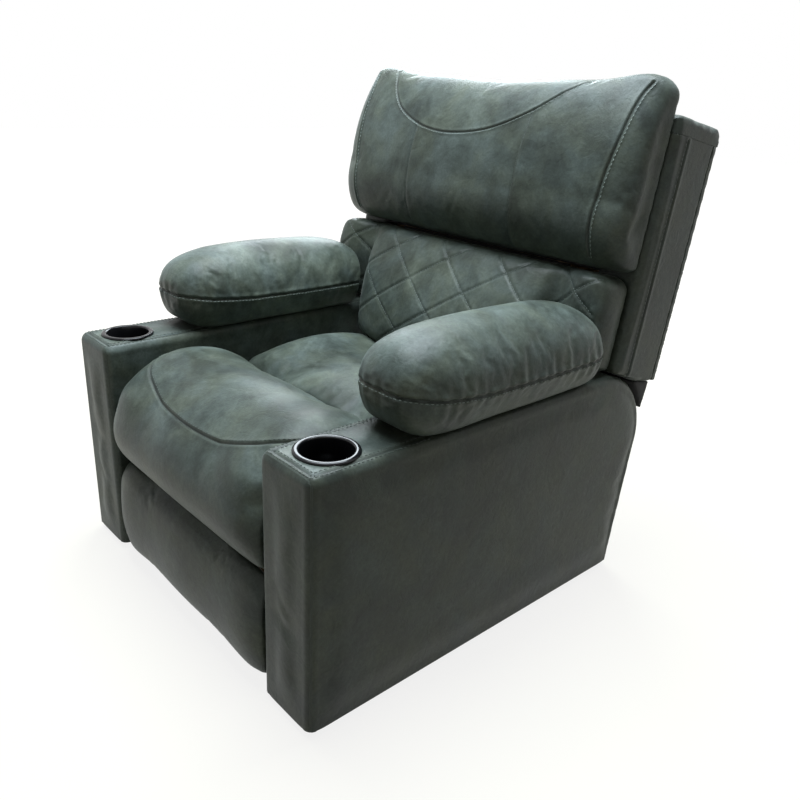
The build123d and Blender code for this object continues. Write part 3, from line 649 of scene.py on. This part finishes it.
def seatHold(co):
    top = smoothStep(co[:, 2], seatLook["topFrom"], seatLook["topFree"])
    front = seatLook["frontFree"] * (co[:, 1] < frontY + seatLook["front"])
    return np.maximum(top, front)


# the valley between the lobes is drawn down, most of all at its ends
def drawValley(piece):
    co = points(piece)
    depth = co[:, 1] - frontY
    ends = (np.abs(co[:, 0]) / seatLook["endAt"]) ** 3
    fall = np.exp(-((depth - seatLook["valley"]) / seatLook["valleyWide"]) ** 2)
    fall = fall * smoothStep(co[:, 2], seatLook["topFrom"], seatLook["dipFrom"])
    co[:, 2] -= fall * (seatLook["dip"] + seatLook["ends"] * ends)
    wide = smoothStep(np.abs(co[:, 0]), *seatLook["wideFade"])
    wide = wide * smoothStep(co[:, 2], *seatLook["crownFade"])
    co[:, 2] += seatLook["shoulder"] * wide * (1 - fall)
    setPoints(piece, co)


def valleyPath(piece):
    across = np.linspace(-seatLook["half"], seatLook["half"], 60)
    row = [(x, frontY + seatLook["valley"], seatLook["above"]) for x in across]
    return castDown(treeOf(piece), row, downAxis)


drawValley(seat)
swell(seat, seatLook, seatHold, [valleyPath(seat)])
footLook = {"voxel": 0.0055, "relax": 5, "cap": 0.008, "pressure": 2.0, "fade": (-0.02, -0.004)}
footPad = stuffing("footrestPad", "footrest_pad", footLook)
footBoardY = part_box("footrest_board")[0].y


def footHold(co):
    return 1 - smoothStep(co[:, 1] - footBoardY, *footLook["fade"])


swell(footPad, footLook, footHold)
print("seat and footrest blocked out")

# back: headrest, lumbar cushion, wings, top roll and outer panel
headLook = {"voxel": 0.0065, "relax": 6, "cap": 0.018, "pressure": 3.0, "panel": 0.158, "panelLow": 0.375,
            "yokeThread": -0.004, "sideThread": 0.006,
            "yoke": ((-0.31, 0.722), (-0.262, 0.655), (-0.21, 0.618), (-0.13, 0.592), (-0.04, 0.586),
                     (0.06, 0.602), (0.15, 0.642), (0.21, 0.685), (0.262, 0.724)),
            "side": ((0.386, 0.715), (0.377, 0.682), (0.370, 0.598), (0.359, 0.492), (0.353, 0.388))}
head = stuffing("headrestCushion", "headrest_cushion", headLook)
lumbarLook = {"voxel": 0.0065, "relax": 18, "cap": 0.014, "pressure": 3.0, "pitch": 0.172, "angle": 54.0,
              "crossing": 0.193, "lines": 9, "half": 0.395, "low": 0.07, "high": 0.352, "hang": 0.009,
              "ahead": 0.030, "topDrop": 0.016, "topAt": 0.375, "topWide": 0.04, "topFade": (0.25, 0.35),
              "hangEnds": (0.28, 0.32), "hangFade": (0.175, 0.25), "aheadEnds": (0.29, 0.36),
              "aheadFade": (0.01, 0.045), "reach": 0.4, "knots": 81}
cushionRear = (-0.03, -0.004)  # the back's cushions swell only in front of this
lumbar = stuffing("lumbarCushion", "lumbar_cushion", lumbarLook)


# the ends of the lumbar cushion stand forward, hang lower and are rounded off at the top
def roundEnds(piece):
    look, co = lumbarLook, points(piece)
    r, v = backCoords(co)
    far = np.abs(co[:, 0])
    end = np.clip((far - look["topAt"]) / look["topWide"], 0, 1)
    drop = look["topDrop"] * end ** 2 * smoothStep(v, *look["topFade"])
    drop += look["hang"] * smoothStep(far, *look["hangEnds"]) * (1 - smoothStep(v, *look["hangFade"]))
    ahead = look["ahead"] * smoothStep(far, *look["aheadEnds"]) * smoothStep(-r, *look["aheadFade"])
    setPoints(piece, co - drop[:, None] * upWay - ahead[:, None] * rearWay)


roundEnds(lumbar)


def cushionHold(co):
    return 1 - smoothStep(backCoords(co)[0], *cushionRear)


def quiltPaths(piece):
    look, tree = lumbarLook, treeOf(piece)
    paths = []
    turn = math.radians(look["angle"])
    for index in range(look["lines"]):
        start = (index - (look["lines"] - 1) / 2) * look["pitch"]
        for lay in (-1, 1):
            row = []
            for t in np.linspace(-look["reach"], look["reach"], look["knots"]):
                x = start + lay * t * math.sin(turn)
                v = look["crossing"] + t * math.cos(turn)
                if abs(x) < look["half"] and look["low"] < v < look["high"]:
                    row.append(onBack(x, 0, v))
            hits = castDown(tree, row, rearAxis)
            if len(hits) > 3:
                paths.append(hits)
    return paths


swell(head, headLook, cushionHold)
swell(lumbar, lumbarLook, cushionHold, quiltPaths(lumbar))
wingLook = {"voxel": 0.006, "relax": 5, "cap": 0.008, "pressure": 2.0, "seam": 0.048, "castAt": 0.43,
            "seamFrom": 0.12, "seamTo": 0.63, "thread": 0.006, "light": 0.80,
            "seed": {"left": 37.5, "right": 41.1}, "outerFade": (0.36, 0.41), "frontFade": (0.004, 0.03),
            "rearFade": (0.12, 0.145), "lowFade": (0.15, 0.22)}
wings = {}


def wingHold(co):
    r, v = backCoords(co)
    keep = smoothStep(np.abs(co[:, 0]), *wingLook["outerFade"]) * smoothStep(r, *wingLook["frontFade"])
    return keep * (1 - smoothStep(r, *wingLook["rearFade"])) * smoothStep(v, *wingLook["lowFade"])


for cap, side, _ in sides:
    wings[side] = stuffing("backWing" + cap, "back_wing_" + side, wingLook)
    swell(wings[side], wingLook, wingHold)
rollLook = {"voxel": 0.0055, "relax": 5, "cap": 0.006, "pressure": 3.0, "level": 0.6362, "ahead": 0.013,
            "fade": (0.014, 0.08), "free": (0.645, 0.66)}


def rollHold(co):
    return smoothStep(backCoords(co)[1], *rollLook["free"])


topRoll = stuffing("backTopRoll", "back_top_roll", rollLook)
swell(topRoll, rollLook, rollHold)
panelLook = {"voxel": 0.005, "relax": 4, "inset": 0.032, "rows": 60, "castAt": 0.2, "thread": 0.006}
outerPanel = stuffing("backOuterPanel", "back_outer_panel", panelLook)
print("back blocked out")

runSwelling()
for piece in [*arms.values(), *pads.values(), seat, footPad, head, lumbar, *wings.values(), topRoll]:
    refine(piece)
print("cloth settled")


# keep each stuffed piece out of its neighbours
def clampPiece(piece, move):
    co = points(piece)
    move(co)
    setPoints(piece, co)


def keepSeat(co):
    limit = armLow.x - seatLook["space"]
    co[:, 0] = np.clip(co[:, 0], -limit, limit)


# the headrest sits down on the lumbar cushion along one plane
backGap = {"meet": 0.3622, "space": 0.0004}


def keepHead(co):
    co += np.maximum(0, backGap["meet"] + backGap["space"] - backCoords(co)[1])[:, None] * upWay


def keepLumbar(co):
    co -= np.maximum(0, backCoords(co)[1] - backGap["meet"] + backGap["space"])[:, None] * upWay


# the pads stop at a slant in front of the lumbar cushion's ends
padStop = {"far": (0.26, 0.36, 0.41, 0.45), "rear": (-0.110, -0.104, -0.090, -0.050), "space": 0.002,
           "fade": (0.262, 0.272)}


def padLimit(co):
    return np.interp(np.abs(co[:, 0]), padStop["far"], padStop["rear"])


def keepPad(co):
    co -= np.maximum(0, backCoords(co)[0] - padLimit(co))[:, None] * rearWay


def keepBehind(co):
    short = padLimit(co) + padStop["space"] - backCoords(co)[0]
    short = short * smoothStep(np.abs(co[:, 0]), *padStop["fade"])
    co += np.maximum(0, short)[:, None] * rearWay


# the wings' lower edge sweeps close round the arms' rear corners
sweepLook = {"gap": 0.012, "arm": 0.003, "wing": 0.0065, "fade": 0.04, "from": (0.152, 0.17)}


def scaleReach(co, reach, wanted):
    grown = np.where(wanted < reach, wanted / np.maximum(reach, 1e-6), 1)
    co[:, 1] = hinge.y + (co[:, 1] - hinge.y) * grown
    co[:, 2] = hinge.z + (co[:, 2] - hinge.z) * grown


def keepArm(co):
    reach = np.hypot(co[:, 1] - hinge.y, co[:, 2] - hinge.z)
    arc = (co[:, 1] > hinge.y) & (co[:, 2] > hinge.z)
    scaleReach(co, reach, np.where(arc, roundReach + sweepLook["arm"], reach))


def reachArm(co):
    reach = np.hypot(co[:, 1] - hinge.y, co[:, 2] - hinge.z)
    start = roundReach + sweepLook["gap"]
    near = 1 - smoothStep(reach, start, start + sweepLook["fade"])
    near = near * smoothStep(backCoords(co)[1], *sweepLook["from"])
    scaleReach(co, reach, reach - sweepLook["wing"] * near)


for side in wings:
    clampPiece(arms[side], keepArm)
    clampPiece(wings[side], reachArm)


# roll, wings and outer panel meet edge to edge, with one rounded corner in front
flushLook = {"corner": 0.0195, "band": (0.008, 0.016), "turn": (0.15, 0.6), "space": 0.0003,
             "rear": (0.110, 0.130), "outer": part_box("back_top_roll")[1].x}


def meetFlush(piece, above):
    look, up = flushLook, 1 if above else -1
    co = points(piece)
    turned = outward(piece)
    r, v = backCoords(co)
    side = np.sign(co[:, 0])
    if above:
        forward = rollLook["ahead"] * (1 - smoothStep(r, *rollLook["fade"]))
        co -= forward[:, None] * rearWay
        r = r - forward
    upward = turned @ upWay * -up
    gap = (v - rollLook["level"]) * up
    edge = 1 - smoothStep(gap, *look["band"])
    flat = edge * smoothStep(upward, *look["turn"])
    co += (flat * (look["space"] - gap) * up)[:, None] * upWay
    if not above:
        edge = np.maximum(edge, smoothStep(r, *look["rear"]))
    centre = wingFront + look["corner"]
    ahead = np.maximum(centre - r, 0)
    over = np.maximum(np.abs(co[:, 0]) - (look["outer"] - look["corner"]), 0)
    far = np.maximum(np.hypot(ahead, over), 1e-9)
    facing = turned[:, 0] * side * over / far - turned @ rearWay * ahead / far
    pull = np.where(far > look["corner"], 1, edge * smoothStep(facing, *look["turn"]))
    pull = pull * (look["corner"] - far) / far
    co[:, 0] += side * over * pull
    co -= (ahead * pull)[:, None] * rearWay
    setPoints(piece, co)


wingFront = min(backCoords(points(piece))[0].min() for piece in wings.values())
for piece in (*wings.values(), outerPanel):
    meetFlush(piece, False)
meetFlush(topRoll, True)
for piece in pads.values():
    clampPiece(piece, keepPad)
for piece, move in ((seat, keepSeat), (footPad, keepSeat), (head, keepHead), (lumbar, keepLumbar),
                    (lumbar, keepBehind)):
    clampPiece(piece, move)

# arm decks and their stitching
for cap, side, sign in sides:
    piece = arms[side]
    fillEdges(piece)
    # painted shade: the arms get a darker copy of the hide
    finish = hideFinish("armHide" + cap, armLook["seed"][side], armLook["light"])
    tree = treeOf(piece)
    inset, end = armLook["seamInset"], armLook["seamEnd"]
    inX, outX = armLow.x + inset, armHigh.x - inset
    row = [(inX, end), (inX, 0.10), (inX + 0.001, inset + 0.008), (inX + 0.01, inset), (armMidX, inset),
           (outX - 0.01, inset), (outX - 0.001, inset + 0.008), (outX, 0.10), (outX, end)]
    row = curveThrough([(sign * x, frontY + depth) for x, depth in row], 90)
    path = castDown(tree, [(x, y, deckZ) for x, y in row], downAxis)
    finer(piece, [path], reach=0.02)
    sew(piece, [path], width=0.0026, depth=0.0022, lip=0.0007)
    co = points(piece)
    within = np.abs(np.abs(co[:, 0]) - armMidX) < armMidX - inX
    deck = within & (co[:, 2] > deckZ - 0.015) & (co[:, 1] > frontY + inset)
    front = co[:, 1] < frontY + 0.006
    inner = np.where(np.abs(co[:, 0]) < armMidX, 3.0, 0.0)
    markPanels(piece, np.where(deck, 2.0, np.where(front, 1.0, inner)))
    rows = [beside(tree, path, way * armLook["thread"] * sign) for way in (1, -1)]
    stitch("armThread" + cap, piece, rows, "base", darkThread)
    bm = meshOf(piece)
    hole = armLook["cupHole"]
    gone = []
    for f in bm.faces:
        c = f.calc_center_median()
        if c.z > deckZ - 0.02 and math.hypot(c.x - sign * armMidX, c.y - cupY) < hole:
            gone.append(f)
    bmesh.ops.delete(bm, geom=gone, context="FACES")
    for v in bm.verts:
        if v.is_boundary:
            out = Vector((v.co.x - sign * armMidX, v.co.y - cupY, 0)).normalized() * hole
            v.co.x, v.co.y = sign * armMidX + out.x, cupY + out.y
    bmesh.ops.bisect_plane(bm, geom=[*bm.verts, *bm.edges, *bm.faces], plane_co=(0, 0, armLow.z),
                           plane_no=downAxis, clear_outer=True)
    bm.to_mesh(piece.data)
    bm.free()
    thicken(piece, armLook["skin"], -1)
    dress(piece, "arm_cover_" + side, "base", finish)
print("arms stitched")

# arm pads: the seam is drawn in and topstitched
for cap, side, _ in sides:
    piece = pads[side]
    tree = treeOf(piece)
    low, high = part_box("arm_pad_" + side)
    ring = padRing(tree, low, high)
    finer(piece, [ring], reach=0.009)
    sew(piece, [ring], width=0.0024, depth=0.0036, lip=0.001, shade=0.8, pucker=0.0012,
        spacing=0.026, reach=0.024)
    co = points(piece)
    share = (co[:, 1] - low.y) / (high.y - low.y)
    markPanels(piece, co[:, 2] < deckZ + np.interp(share, padLook["seamAt"], padLook["seamRise"]))
    # painted light: the pads get a lighter copy of the hide
    finish = hideFinish("padHide" + cap, padLook["seed"][side], padLook["light"])
    stitch("padThread" + cap, piece, [beside(tree, ring, padLook["thread"])], "base", paleThread)
    dress(piece, "arm_pad_" + side, "base", finish)
print("arm pads stitched")

# seat: sewn valley, crescent seam over the front lobe
tree = treeOf(seat)
half = seatLook["crescent"]
crescent = [(-x, y) for x, y in reversed(half)] + list(half[1:])
row = [(x, frontY + y, seatLook["above"]) for x, y in curveThrough(crescent, 120)]
path = castDown(tree, row, downAxis)
finer(seat, [path], reach=0.010)
valley = valleyPath(seat)
sew(seat, [valley], width=0.007, depth=0.005, shade=0.35, pucker=0.0014, spacing=0.034, reach=0.035)
sew(seat, [path], width=0.0026, depth=0.003, lip=0.0008)
co = points(seat)
bow = np.interp(np.abs(co[:, 0]), *zip(*half))
ahead = (co[:, 1] - frontY < bow) | (co[:, 2] < seatLook["topFrom"])
markPanels(seat, np.where(ahead, 1.0, np.where(co[:, 1] - frontY > seatLook["valley"], 2.0, 0.0)))
stitch("seatThread", seat, [beside(tree, path, seatLook["thread"])], "base", darkThread)
dress(seat, "seat_cushion", "base", hideFinish("seatHide", 17.2))
# painted shade: the footrest gets a darker copy of the hide
dress(footPad, "footrest_pad", "footrest", hideFinish("footHide", 23.9, 0.95))
print("seat stitched")

# headrest: curved yoke, panel seams and side seams
tree = treeOf(head)
yoke, sideSeam, panelX = headLook["yoke"], headLook["side"], headLook["panel"]


def onHead(row):
    return castDown(tree, [onBack(x, 0, v) for x, v in row], rearAxis)


yokePath = onHead(curveThrough(yoke, 110))
sidePaths, panelPaths = [], []
for sign in (1, -1):
    sidePaths.append(onHead([(sign * x, v) for x, v in curveThrough(sideSeam, 70)]))
    top = np.interp(sign * panelX, *zip(*yoke))
    panelPaths.append(onHead([(sign * panelX, v) for v in np.linspace(headLook["panelLow"], top, 60)]))
finer(head, [yokePath, *sidePaths], reach=0.009)
sew(head, [yokePath], width=0.0019, depth=0.0020, lip=0.0006, shade=0.7)
sew(head, sidePaths, width=0.0021, depth=0.0030, lip=0.001, shade=0.8)
sew(head, panelPaths, width=0.0022, depth=0.0012, shade=0.35)
co = points(head)
r, v = backCoords(co)
far = np.abs(co[:, 0])
above = v > np.interp(co[:, 0], *zip(*yoke), left=1, right=1)
sideX, sideV = zip(*reversed(sideSeam))
ends = far > np.interp(v, sideV, sideX)
middle = np.where(far > panelX, 2.0 + np.sign(co[:, 0]) * 0.5, 1.0)
markPanels(head, np.where(ends, 3.0, np.where(above, 0.0, middle)))
stitch("yokeThread", head, [beside(tree, yokePath, headLook["yokeThread"])], "back", paleThread, thick=0.0011)
stitch("headThread", head, [beside(tree, p, headLook["sideThread"]) for p in sidePaths], "back", paleThread)
# painted shade: the headrest gets a darker copy of the hide
dress(head, "headrest_cushion", "back", hideFinish("headHide", 29.4, 0.9))
print("headrest stitched")

# lumbar: diamond quilting
paths = quiltPaths(lumbar)
sew(lumbar, paths, width=0.0030, depth=0.0020, lip=0.0003, shade=0.12, pucker=0.0003,
    spacing=0.015, reach=0.014)
stitch("lumbarThread", lumbar, paths, "back", quiltThread, pitch=0.0066, length=0.0056, thick=0.0011)
dress(lumbar, "lumbar_cushion", "back", hideFinish("lumbarHide", 31.8))
print("lumbar quilted")

# wings, top roll, outer panel
for cap, side, sign in sides:
    piece = wings[side]
    tree = treeOf(piece)
    rise = np.linspace(wingLook["seamFrom"], wingLook["seamTo"], 60)
    row = [onBack(sign * wingLook["castAt"], wingLook["seam"], v) for v in rise]
    path = castDown(tree, row, Vector((-sign, 0, 0)))
    finer(piece, [path], reach=0.009)
    sew(piece, [path], width=0.0024, depth=0.003, lip=0.001, shade=0.9)
    markPanels(piece, backCoords(points(piece))[0] > wingLook["seam"])
    stitch("wingThread" + cap, piece, [beside(tree, path, wingLook["thread"])], "back", darkThread)
    # painted shade: the wings get a darker copy of the hide
    finish = hideFinish("wingHide" + cap, wingLook["seed"][side], wingLook["light"])
    dress(piece, "back_wing_" + side, "back", finish)
# the outer panel is topstitched along its border
v = backCoords(points(outerPanel))[1]
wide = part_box("back_outer_panel")[1].x - panelLook["inset"]
lowV, highV = v.min() + panelLook["inset"], v.max() - panelLook["inset"]
tree = treeOf(outerPanel)
corners = [(-wide, lowV), (-wide, highV), (wide, highV), (wide, lowV)]
borders = []
for (x, v), (nextX, nextV) in zip(corners, corners[1:] + corners[:1]):
    shares = np.linspace(0, 1, panelLook["rows"])
    row = [onBack(x + (nextX - x) * t, panelLook["castAt"], v + (nextV - v) * t) for t in shares]
    borders.append(castDown(tree, row, -rearAxis))
finer(outerPanel, borders, reach=0.009)
sew(outerPanel, borders, width=0.0024, depth=0.0022, lip=0.0006, shade=0.8)
stitch("panelThread", outerPanel, [beside(tree, path, panelLook["thread"]) for path in borders], "back",
       darkThread)
# painted shade: the roll and the outer panel get darker copies of the hide
dress(topRoll, "back_top_roll", "back", hideFinish("rollHide", 43.7, 0.85))
dress(outerPanel, "back_outer_panel", "back", hideFinish("panelHide", 47.3, 0.9))
print("wings and rear panel dressed")

# black cloth under the wings and behind the mechanism
wrapLook = {"voxel": 0.005, "relax": 3}
wraps = stuffing("wingUnderwraps", "wing_underwraps", wrapLook)
dress(wraps, "wing_underwraps", "back", blackCloth)


# strips of cloth on the leaning back, from their middles, half sizes and bow
def strips(name, middles, half, steps, bow, thick):
    bm = bmesh.new()
    for middle in middles:
        place = Matrix((sideAxis, upAxis, rearAxis)).transposed().to_4x4()
        place.translation = onBack(*middle)
        made = bmesh.ops.create_grid(bm, x_segments=steps[0], y_segments=steps[1], size=1.0,
                                     matrix=place @ Matrix.Diagonal((half[0], half[1], 1, 1)))
        for v in made["verts"]:
            share = (v.co.x - middle[0]) / half[0]
            v.co += rearAxis * bow * (1 - share * share)
    piece = fromBmesh(name, bm)
    thicken(piece, thick, 0)
    return piece


strapLook = {"half": 0.0248, "low": (0.170, 0.240, 0.310, 0.430, 0.510), "middle": 0.025, "rear": 0.0045,
             "bow": 0.010, "thick": 0.0022, "short": 0.001}
dustLook = {"thick": 0.0012, "bow": 0.0008}
gapLook = {"middle": 0.3952, "half": (0.355, 0.0342)}
strapHalf = (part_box("back_straps")[1].x - strapLook["short"], strapLook["half"])
middles = [(0, strapLook["rear"], level + strapLook["middle"]) for level in strapLook["low"]]
straps = strips("backStraps", middles, strapHalf, (60, 8), strapLook["bow"], strapLook["thick"])
dress(straps, "back_straps", "back", webbing)
r, v = backCoords(points(frame["nodes"]["back_dust_cover"]))
dustHalf = (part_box("back_dust_cover")[1].x, (v.max() - v.min()) / 2)
middle = (0, (r.min() + r.max()) / 2, (v.min() + v.max()) / 2)
dust = strips("backDustCover", [middle], dustHalf, (70, 22), dustLook["bow"], dustLook["thick"])
dress(dust, "back_dust_cover", "back", blackCloth)
# painted shade: a black sheet with no part in the frame, laid behind the crevice where the headrest meets the
# lumbar cushion so that the crevice shows dark
middle = (0, strapLook["rear"], gapLook["middle"])
paintedGapShade = strips("paintedGapShade", [middle], gapLook["half"], (70, 8), 0.0, dustLook["thick"])
paintedGapShade.data.materials.append(blackCloth)
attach(paintedGapShade, "back")
print("straps and dust cover laid")

# cup holders: spun liners with a rolled glossy rim
cupLook = {"steps": 72, "rim": 0.0542, "bore": 0.0435, "wall": 0.0016, "deep": 0.072, "rise": 0.004}
cupGloss = hardFinish("cupGloss", (0.008, 0.008, 0.009), 0.14, 0.0, 40.0, 0.02)
cupGloss.node_tree.nodes["Principled BSDF"].inputs["Specular IOR Level"].default_value = 0.25
for cap, side, sign in sides:
    rim, bore, wall, rise, deep = (cupLook[key] for key in ("rim", "bore", "wall", "rise", "deep"))
    outer, inside = bore + wall, wall - deep
    lip = [(rim - 0.0004, 0.0), (rim, 0.0012), (rim - 0.0012, rise * 0.85), (rim - 0.004, rise),
           (bore + 0.003, rise), (bore + 0.0008, rise * 0.8), (bore, rise * 0.3), (bore, -0.03),
           (bore, 0.006 - deep), (bore - 0.004, inside), (0.0, inside)]
    under = [(outer, 0.0), (outer, -deep + 0.004), (outer - 0.004, -deep), (0.0, -deep)]
    bm = bmesh.new()
    centre = Vector((sign * armMidX, cupY, deckZ))
    line = [bm.verts.new(centre + Vector((r, 0, z))) for r, z in list(reversed(under)) + lip]
    edges = [bm.edges.new(pair) for pair in zip(line[:-1], line[1:])]
    bmesh.ops.spin(bm, geom=[*line, *edges], cent=centre, axis=(0, 0, 1), angle=2 * math.pi,
                   steps=cupLook["steps"], use_merge=True)
    bmesh.ops.remove_doubles(bm, verts=bm.verts, dist=0.00005)
    bmesh.ops.recalc_face_normals(bm, faces=bm.faces)
    piece = fromBmesh("cupLiner" + cap, bm)
    smoothFaces(piece)
    piece.data.materials.append(cupGloss)
    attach(piece, "base")
    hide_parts("cup_holder_" + side)
print("cup holders spun")

# finishes for the frame and the mechanism
slotFinish = {
    "timber": timberFinish("frameTimber"),
    "black_steel": hardFinish("blackSteel", (0.02, 0.02, 0.022), 0.42, 0.0, 90.0, 0.15),
    "bright_steel": hardFinish("brightSteel", (0.55, 0.55, 0.54), 0.32, 1.0, 120.0, 0.1),
    "black_plastic": hardFinish("blackPlastic", (0.018, 0.018, 0.018), 0.5, 0.0, 300.0, 0.2),
}
for part in frame["record"]["subparts"]:
    node = frame["nodes"][part["node"]]
    finish = slotFinish.get(part["material_slot"])
    if finish and not node.hide_render:
        for place in node.material_slots:
            place.material = finish
print("frame finished")

# stage, light and camera
stageLook = {"floor": (0.14, 0.13, 0.09), "half": 14.0, "ambient": (1.0, 0.95, 0.74, 1), "world": 0.022,
             "spread": {"From Min": 0.8, "From Max": 2.2, "To Min": 0.84, "To Max": 1.0}}  # the floor's glow
lamps = {
    "keyBox": {"place": (-0.2, 0.1, 2.7), "aim": (0, 0.05, 0.4), "size": (1.8, 1.5), "power": 132.0,
               "colour": (0.82, 0.92, 1.0)},
    "fillBox": {"place": (2.6, -1.6, 1.6), "aim": (0, 0, 0.5), "size": (1.6, 1.6), "power": 2.0,
                "colour": (1.0, 0.95, 0.76)},
    "rimBox": {"place": (-2.0, 1.7, 2.0), "aim": (0, 0, 0.5), "size": (1.6, 1.2), "power": 62.0,
               "colour": (0.84, 0.94, 1.0)},
}


# 1 for what the camera sees straight, mirrored or through glass
def seenRay(add):
    ray = add("LightPath").outputs
    mirrored = add("Math", {0: ray["Is Camera Ray"], 1: ray["Is Glossy Ray"]}, operation="MAXIMUM").outputs[0]
    return add("Math", {0: mirrored, 1: ray["Is Transmission Ray"]}, operation="MAXIMUM").outputs[0]


def floorFinish(name):
    finish, add, skin = startFinish(name)
    add(skin, {"Base Color": (*stageLook["floor"], 1), "Roughness": 0.9})
    span = add("VectorMath", {0: objectCoords(add)}, operation="LENGTH").outputs["Value"]
    spread = add("MapRange", {"Value": span, **stageLook["spread"]}, interpolation_type="SMOOTHSTEP")
    level = add("Math", {0: seenRay(add), 1: spread.outputs["Result"]}, operation="MULTIPLY").outputs[0]
    glow = add("Emission", {"Strength": level}).outputs["Emission"]
    both = add("AddShader", {0: skin.outputs["BSDF"], 1: glow}).outputs["Shader"]
    add(finish.node_tree.nodes["Material Output"], {"Surface": both})
    return finish


bm = bmesh.new()
bmesh.ops.create_grid(bm, x_segments=8, y_segments=8, size=stageLook["half"])
floor = fromBmesh("floor", bm)
floor.data.materials.append(floorFinish("floorPaper"))

for name, look in lamps.items():
    lamp = bpy.data.lights.new(name, "AREA")
    lamp.shape = "RECTANGLE"
    lamp.size, lamp.size_y = look["size"]
    lamp.energy = look["power"]
    lamp.color = look["colour"]
    holder = bpy.data.objects.new(name, lamp)
    bpy.context.scene.collection.objects.link(holder)
    holder.location = look["place"]
    way = Vector(look["aim"]) - Vector(look["place"])
    holder.rotation_euler = way.to_track_quat("-Z", "Y").to_euler()

world = bpy.data.worlds.new("studio")
bpy.context.scene.world = world
world.use_nodes = True
add, nodes = nodeMaker(world.node_tree), world.node_tree.nodes
ambient = add(nodes["Background"], {"Color": stageLook["ambient"], "Strength": stageLook["world"]})
white = add("Background", {"Color": (1, 1, 1, 1), "Strength": 1.0})
pick = add("MixShader", {"Fac": seenRay(add), 1: ambient.outputs["Background"],
                         2: white.outputs["Background"]})
add(nodes["World Output"], {"Surface": pick.outputs["Shader"]})
bpy.context.scene.view_settings.view_transform = "Standard"

cameraLook = {"eye": (1.2213, frontY - 0.5684, 1.0067), "azimuth": 47.224, "elevation": 22.008, "roll": 2.917,
              "focal": 774.88, "wide": 800}  # focal length and picture width in pixels
turn, rise, roll = (math.radians(cameraLook[k]) for k in ("azimuth", "elevation", "roll"))
back = Vector((math.sin(turn) * math.cos(rise), -math.cos(turn) * math.cos(rise), math.sin(rise)))
right = (-back).cross(Vector((0, 0, 1))).normalized()
up = right.cross(-back)
rightRolled = math.cos(roll) * right + math.sin(roll) * up
upRolled = math.cos(roll) * up - math.sin(roll) * right
eye = bpy.data.cameras.new("photoEye")
eye.sensor_width = 36.0
eye.lens = cameraLook["focal"] / cameraLook["wide"] * eye.sensor_width
holder = bpy.data.objects.new("photoEye", eye)
bpy.context.scene.collection.objects.link(holder)
aimed = Matrix((rightRolled, upRolled, back)).transposed().to_4x4()
holder.matrix_world = Matrix.Translation(Vector(cameraLook["eye"])) @ aimed
bpy.context.scene.camera = holder
print("stage and camera set")
